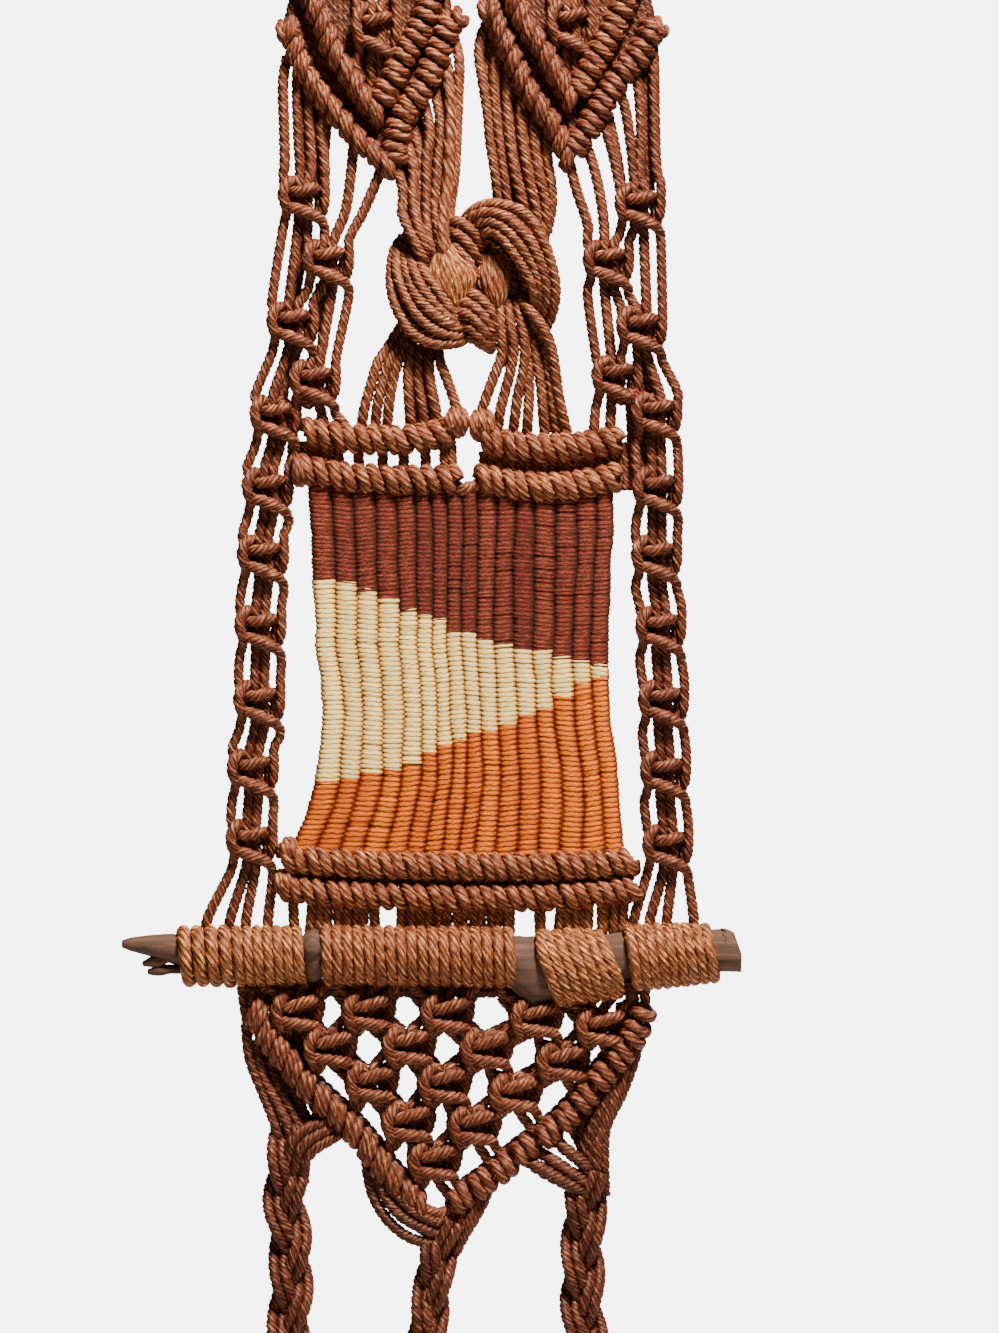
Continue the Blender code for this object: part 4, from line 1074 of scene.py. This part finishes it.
# %% Braid tables: the line, the reach to each side, and the cords that feed each braid
BRAIDS = {
    "left": (places("292,1128 288,1160 285,1200 290,1240 291,1285 289,1325 287,1365 289,1407"), 5.4, routes("""
246,1024,1 250,1059,1 263,1093,1 275,1123,0 282,1146,1 /
254,1040,2 262,1074,1 275,1100,0 288,1126,-1 294,1150,1 /
268,1060,3 279,1090,2 292,1112,1 299,1130,0 304,1156,2 /
340,1112,3 320,1123,-2 304,1130,-4 292,1144,-4 287,1166,-1 /
345,1119,3 325,1131,-2.5 309,1140,-4.5 299,1153,-4 294,1174,-1 /
351,1127,3 331,1139,-2 316,1148,-4 306,1160,-3 304,1182,0 /
258,1030,4 272,1070,4 290,1110,4 297,1150,3 /
266,1044,4 284,1074,4 299,1104,4 308,1128,3 302,1160,3 /
292,1078,4.5 308,1098,4.5 317,1114,4 309,1132,2 299,1152,1
""")),
    "middle": (places("446,1222 440,1246 434,1275 431,1305 426,1335 425,1370 427,1466"), 4.4, routes("""
366,1156,2 368,1176,1 374,1198,0 388,1220,-2 408,1236,-3 432,1244,-1 /
374,1160,2 377,1178,0 386,1198,-2 402,1216,-4 424,1228,-3 444,1236,0 /
384,1166,2 388,1182,-1 400,1198,-3 416,1212,-4 436,1222,-2 /
392,1174,3 399,1187,1 411,1199,-1 424,1208,-1 440,1214,0 /
370,1164,5 384,1192,5 410,1222,5 436,1238,4 /
386,1176,5 402,1204,5 426,1222,5 /
490,1178,2 486,1196,1 476,1216,0 464,1236,0 455,1254,1 /
480,1186,2 476,1202,0 468,1220,-1 458,1240,0 /
468,1194,2 464,1210,0 456,1228,-1 448,1246,0 /
456,1200,3 452,1216,1 446,1234,1
""")),
    "right": (places("588,1172 586,1200 583,1230 583,1262 582,1300 586,1340 586,1407"), 5.4, routes("""
640,1036,1 634,1062,2 622,1094,2 606,1128,1 604,1160,0 605,1196,1 /
632,1046,2 624,1074,1 612,1104,0 600,1134,-1 596,1166,-1 596,1200,1 /
622,1058,2 612,1084,0 602,1112,-1 593,1140,-1 590,1170,0 588,1200,2 /
610,1072,2 602,1094,1 594,1120,0 587,1148,0 583,1176,1 /
598,1086,3 592,1110,3 586,1136,3 580,1166,3 /
520,1156,0,2.8 538,1167,-3,3.4 558,1178,-4,3.4 577,1188,-3,3 588,1196,1,2.4 /
536,1150,1,2.8 552,1160,-2,3.2 569,1171,-3,3.2 583,1181,-2,3 592,1190,1,2.4 /
552,1136,1,2.8 562,1146,-2,3.1 576,1157,-3,3.1 588,1168,-2,2.8 596,1180,1,2.4 /
594,1096,4 584,1118,4 581,1140,4 584,1162,4 /
568,1118,5 576,1136,5 586,1154,5
""")),
}
BRAID_CORD = 2.7
BRAID_PERIOD = 78.0
BRAID_SWING = 3.2
BRAID_STEP = 3.0
PART_WIDTH = 4.3


# %% Building the braids
def braid(skein, line, reach):
    """Three pairs of cords that swing past each other down a line."""
    middle = smooth(picture_line(line), BRAID_STEP)
    far = np.arange(len(middle)) * BRAID_STEP
    for part in range(3):
        turn = math.tau * (far / BRAID_PERIOD + part / 3)
        swing = np.column_stack([np.sin(turn) * reach, np.sin(2 * turn) * BRAID_SWING, np.zeros(len(far))])
        path = middle + swing
        across = np.cross(np.gradient(path, axis=0), (0.0, 1.0, 0.0))
        across /= np.linalg.norm(across, axis=1)[:, None]
        for offset in (-PART_WIDTH / 2, PART_WIDTH / 2):
            skein.lay(path + across * offset, BRAID_CORD)


TASSEL_CORDS, TASSEL_CORD, TASSEL_LONG = 9, 2.1, 43.5


def wrapped_end(skein, x, y):
    """A wrapped knot round the braid's end, and the tassel under it."""
    wind(skein, picture_line([(x, y - 20), (x, y + 20)]), 4, 7.6, 7.0, 0.0, 0.0, 2.3, 0.1, LAY, 0)
    top = seen(x, y)
    for k in range(TASSEL_CORDS):
        turn = math.tau * (k + 0.3) / TASSEL_CORDS
        out = np.array([math.cos(turn), 0.6 * math.sin(turn), 0.0])
        hang = ((3.5, -6), (4.5, 10), (8.5, 26), (10, TASSEL_LONG - 3.0 * (k % 3)))
        skein.lay([top + out * wide - (0, 0, down) for wide, down in hang], TASSEL_CORD)


for number, (name, (line, reach, feeds)) in enumerate(BRAIDS.items()):
    # Painted shade: each braid's cords are made darker.
    skein = Skein(71 + number, -1.9)
    for route in feeds:
        skein.trace(route, 0, BRAID_CORD)
    braid(skein, line, reach)
    wrapped_end(skein, *line[-1])
    skein.piece(f"braid_{name}", "knotwork_lower")
print(f"{total_cord * MM:.1f} m of cord in all")

# %% [markdown]
# ## The woven panel
# The panel is woven back and forth over sixteen thick warps, so each warp shows as a rib wound with rows
# of yarn. A smooth corrugated sheet would lose the rows. Here each rib is a flattened tube whose skin
# swells with every row, and where two colours meet, the change steps from rib to rib. The yarns share a
# group that paints shade into the grooves between rows and the valleys between ribs, and leaves the crests bright.

# %% Group: woven rows
group, given = new_group("woven_rows", Fuzz=0.5, Fibres=6.0, Valley=0.92)
u, v = strand_place(group)
row = u * 100.0
spot = point(group, row, v * 30.0)
bent = row + (noise(group, spot, 0.35, 1.0) - 0.5) * 0.5
# Painted shade: each rib is darkened towards its sides, where it meets the next, and in the grooves between rows.
side = (v * math.tau).maths("COSINE").maths("ABSOLUTE")
painted_valley_shade = 1.0 - side ** 3.5 * given["Valley"]
groove = ripple(bent, 0.7) * painted_valley_shade
thread = point(group, bent * given["Fibres"] + v * 9.0 * 0.8, v * 9.0)
mixed = noise(group, thread, 1.0, 3.0, 0.6) + (noise(group, spot, 2.4, 3.0, 0.8) - 0.5) * given["Fuzz"]
streak = (mixed - 0.30).maths("MULTIPLY", 2.4, clamp=True) * painted_valley_shade
woven_rows = close_group(group, Groove=groove, Streak=streak, Height=groove * 0.6 + streak * 0.4)

# %% Yarn finishes
# The darkest stop of each yarn paints shade into the grooves between rows and the valleys between ribs.
YARNS = {
    "maroon": (
        {"Fuzz": 1.2, "Fibres": 5.0},
        [(0.15, (0.006, 0.0005, 0.0003)), (0.5, (0.060, 0.0050, 0.0028)), (0.88, (0.350, 0.060, 0.0350))],
        0.45, 0.85, 0.10, 1.0, (60.0, 0.40), (1.0, 0.50, 0.35),
    ),
    "cream": (
        {"Fuzz": 0.5, "Fibres": 6.0},
        [(0.18, (0.080, 0.018, 0.002)), (0.44, (0.780, 0.400, 0.085)), (0.70, (1.000, 0.800, 0.300))],
        0.62, 0.80, 0.06, 0.9, (40.0, 0.12), (1.0, 0.82, 0.50),
    ),
    "orange": (
        {"Fuzz": 0.5, "Fibres": 6.0},
        [(0.18, (0.040, 0.002, 0.0)), (0.46, (0.300, 0.031, 0.0003)), (0.80, (0.860, 0.180, 0.003))],
        0.60, 0.78, 0.05, 0.9, (40.0, 0.20), (1.0, 0.60, 0.30),
    ),
}
yarns = {name: spun_finish(f"{name}_yarn_finish", woven_rows, *values) for name, values in YARNS.items()}

# %% Panel tables
RIB_WIDTHS = [22, 21, 21.5, 21.5, 19, 16.5, 15, 15, 15.5, 18.5, 20, 20, 21, 21, 19, 17.5]
CREAM_TOPS = [581, 583, 590, 600, 610, 614, 620, 630, 634, 640, 646, 650, 652, 658, 662, 665]
ORANGE_TOPS = [782, 779, 773, 771, 762, 753, 744, 740, 731, 730, 725, 716, 708, 696, 683, 677]
LEFT_EDGE, RIGHT_EDGE = routes("""
487,309 540,313 600,315 644,315 676,321 715,323 743,321 784,316 810,309 837,297 856,290 /
487,614 540,612 608,609 660,607 690,608 724,610 766,617 810,620 856,624
""")
PANEL_TOP, PANEL_FOOT = routes("309,480 400,484 462,488 614,484 / 290,850 350,853 470,857 624,852")
RIB_DEEP, RIB_RING = 2.9, 12
RIB_OVERLAP = 1.10
ROW_STEPS = 6
BULGE = 0.10
RIB_EDGES = np.concatenate([[0.0], np.cumsum(RIB_WIDTHS)]) / sum(RIB_WIDTHS)
SWAY_AT = np.linspace(470, 870, 14)
RIB_SWAY = np.random.default_rng(80).normal(0, 0.8, (len(RIB_EDGES), len(SWAY_AT)))
print(len(RIB_WIDTHS), "ribs")


# %% Winding a rib
def table_at(table, where):
    """A value between the rows of a table, straight between them."""
    return np.interp(where, *zip(*table))


def rib_edge(number, y):
    """Where the edge between two ribs runs, at places down the picture."""
    left, right = table_at(LEFT_EDGE, y), table_at(RIGHT_EDGE, y)
    return left + (right - left) * RIB_EDGES[number] + np.interp(y, SWAY_AT, RIB_SWAY[number])


def add_rib(skein, number, top, foot, row_high):
    """One rib of one colour, from its top to its foot in the picture."""
    rows = (foot - top) * PIXEL / row_high
    count = max(6, int(rows * ROW_STEPS))
    y = np.linspace(top, foot, count)
    start, end = rib_edge(number, y), rib_edge(number + 1, y)
    middle, half = (start + end) / 2, (end - start) / 2 * PIXEL * RIB_OVERLAP
    angle = math.tau * np.arange(RIB_RING) / RIB_RING
    row = (y - top) * PIXEL / row_high + skein.chance.random()
    uneven = np.repeat(skein.chance.normal(0, BULGE * 0.3, int(rows) + 3), ROW_STEPS)[:count]
    skin = 1 + BULGE * (np.abs(np.sin(math.pi * row)) ** 0.7 - 0.6) + uneven
    rings = np.repeat(picture_line(np.column_stack([middle, y]))[:, None], RIB_RING, axis=1)
    rings[..., 0] += np.cos(angle) * (half * skin)[:, None]
    rings[..., 1] += np.sin(angle) * (RIB_DEEP * skin)[:, None]
    rings[..., 2] += np.cos(angle) * skein.chance.normal(0, 0.35)
    skein.add_tube(rings, row, skein.chance.random())
    skein.length += (foot - top) * PIXEL


# %% The three yarns
def build_weft(name, seed, tops, feet, row_high):
    """All the ribs of one colour, made into one piece."""
    skein = Skein(seed)
    flat = 0.0
    for number, width in enumerate(RIB_WIDTHS):
        add_rib(skein, number, tops[number], feet[number], row_high)
        flat += (feet[number] - tops[number]) * width * PIXEL * PIXEL * MM * MM
    thing = skein.piece(f"{name}_weave", f"weft_{name}", slot=f"{name}_yarn", finish=yarns[name])
    round(flat * 1.02, 5)
    print(f"{name} weave: {flat:.4f} square metres flat")


rib_middles = [300 + 315 * share for share in (RIB_EDGES[:-1] + RIB_EDGES[1:]) / 2]
panel_tops, panel_feet = ([float(table_at(end, x)) for x in rib_middles] for end in (PANEL_TOP, PANEL_FOOT))
build_weft("maroon", 81, panel_tops, [y + 1.5 for y in CREAM_TOPS], 1.9)
build_weft("cream", 82, [y - 1.5 for y in CREAM_TOPS], [y + 1.5 for y in ORANGE_TOPS], 2.1)
build_weft("orange", 83, [y - 1.5 for y in ORANGE_TOPS], panel_feet, 2.2)

# %% [markdown]
# ## The driftwood stick
# A length of weathered branch: pointed and split at its left end, sawn and bevelled at its right, with a
# knot between the first two groups of hitches and a swelling between the second and third. Its mesh is
# a tube with grooves along the grain, and its finish is one more group, for grain, cracks and grey wear.

# %% Group: weathered grain
group, given = new_group("weathered_grain", Length=18.0, Fineness=340.0, Wear=0.5)
where = wire(group, "ShaderNodeTexCoord", out="Object")
x, y, z = parts(group, where)
spot = point(group, x * given["Length"], y * given["Fineness"], z * given["Fineness"])
grain = noise(group, spot, 1.0, 5.0, 0.65)
crack = (0.36 - noise(group, spot, 0.32, 2.0)).maths("MULTIPLY", 9.0, clamp=True)
grey = noise(group, where, 55.0, 3.0) * given["Wear"]
weathered_grain = close_group(group, Grain=grain, Crack=crack, Grey=grey, Height=grain * 0.7 - crack)


# %% Driftwood finish
def mix(tree, share, first, second):
    """One colour over another, by a share from 0 to 1."""
    return wire(tree, "ShaderNodeMix", {"data_type": "RGBA"}, 2, i0=share, i6=first, i7=second)


driftwood, tree, shader = new_material("driftwood_finish")
wood = use_group(tree, weathered_grain, Length=16.0, Fineness=420.0, Wear=0.55)
brown = colour_ramp(tree, wood["Grain"], [(0.3, (0.020, 0.007, 0.0035)), (0.72, (0.155, 0.056, 0.025))])
worn = mix(tree, wood["Grey"], brown, (0.066, 0.033, 0.019, 1.0))
cracked = mix(tree, wood["Crack"], worn, (0.012, 0.007, 0.005, 1.0))
feed(
    shader, Base_Color=use_group(tree, dye_drift_and_painted_light, Color=cracked, Size=22.0, Amount=0.35)["Color"],
    Roughness=0.95 - wood["Grain"] * 0.3,
    Normal=wire(tree, "ShaderNodeBump", Strength=0.9, Distance=0.0009, Height=wood["Height"]),
)
print("finish", driftwood.name)

# %% Stick tables: across, down, half height and half depth of each place, then bark, flakes and knot
STICK = places("""
122,944,1.6,2.6 130,944.5,2.9,4.4 150,946,4.6,6 172,949,6.4,6.8 200,954,7.4,7.2 301,955,7.8,7.8
306,955,10.4,9.2 313,955,12,10 320,955,10.6,9.2 326,955,8,7.8 420,956,8.2,8.2 505,961,9.8,8.4
518,967,13,9 534,973,15.5,9.2 560,970,12.5,8.6 606,962,11.6,8.6 623,957,10.6,8.5 632,956,9.4,8.4
690,953,8.8,8.2 716,951,9.2,8 733,951,9.4,7.8 741,953,8.6,7
""")
STICK_RING = 48
BARK_WAVES = ((3, 0.02, 0.035), (5, 0.035, 0.022), (9, 0.05, 0.016), (17, 0.09, 0.010))
SPLIT_FLAKES = ((143, 962, 30, 2.6, 5), (148, 971, 32, 2.4, 2), (160, 957, 26, 3.2, 0))
FLAKE_ANGLES = np.radians([0, 50, 110, 160, 215, 260, 320])
FLAKE_REACH = np.array([1.0, 0.8, 1.1, 0.75, 1.0, 0.7, 1.05])
KNOT_RING = 14

# %% Building the stick
skein = Skein(91)
place = smooth([seen(x, y) for x, y, high, deep in STICK], 1.0)
table_x = [seen(x, 0)[0] for x, y, high, deep in STICK]
high, deep = (np.interp(place[:, 0], table_x, [row[column] for row in STICK])[:, None] for column in (2, 3))
angle = math.tau * np.arange(STICK_RING) / STICK_RING
bark = np.ones((len(place), STICK_RING))
for waves, along_it, size in BARK_WAVES:
    shift = skein.chance.random(2) * math.tau
    bark += size * np.sin(waves * angle[None, :] + shift[0] + 1.5 * np.sin(place[:, 0:1] * along_it + shift[1]))
bark += skein.chance.normal(0, 0.004, bark.shape)
rings = np.repeat(place[:, None], STICK_RING, axis=1)
rings[..., 2] += np.sin(angle) * high * bark
rings[..., 1] -= np.cos(angle) * deep * bark
rings[..., 0] -= (place[:, 0:1] > seen(727, 0)[0]) * np.clip(np.sin(angle), 0, 1) * 3.0
skein.add_tube(rings, np.linspace(0, MAP_LENGTH, len(place)), 0.5)
for x, y, length, radius, drop in SPLIT_FLAKES:
    flake = [
        (x, y + drop * 0.3, -1, radius * 0.5), (x + length * 0.4, y - drop * 0.2, -1.5, radius),
        (x + length, y - drop, 0, radius),
    ]
    skein.lay(picture_line(flake), radius, 60.0, FLAKE_ANGLES, FLAKE_REACH, 1.5)
knot = []
for k in range(5):
    bump = math.sin(math.pi * k / 4)
    knot.append((306 + 3.5 * k, 948, -5.6 - 1.2 * bump, 2.6 + 2.6 * bump))
skein.lay(picture_line(knot), 8.0, 80.0, math.tau * np.arange(KNOT_RING) / KNOT_RING, np.ones(KNOT_RING), 0.6)
skein.piece("stick", "driftwood_stick", slot="driftwood", finish=driftwood)
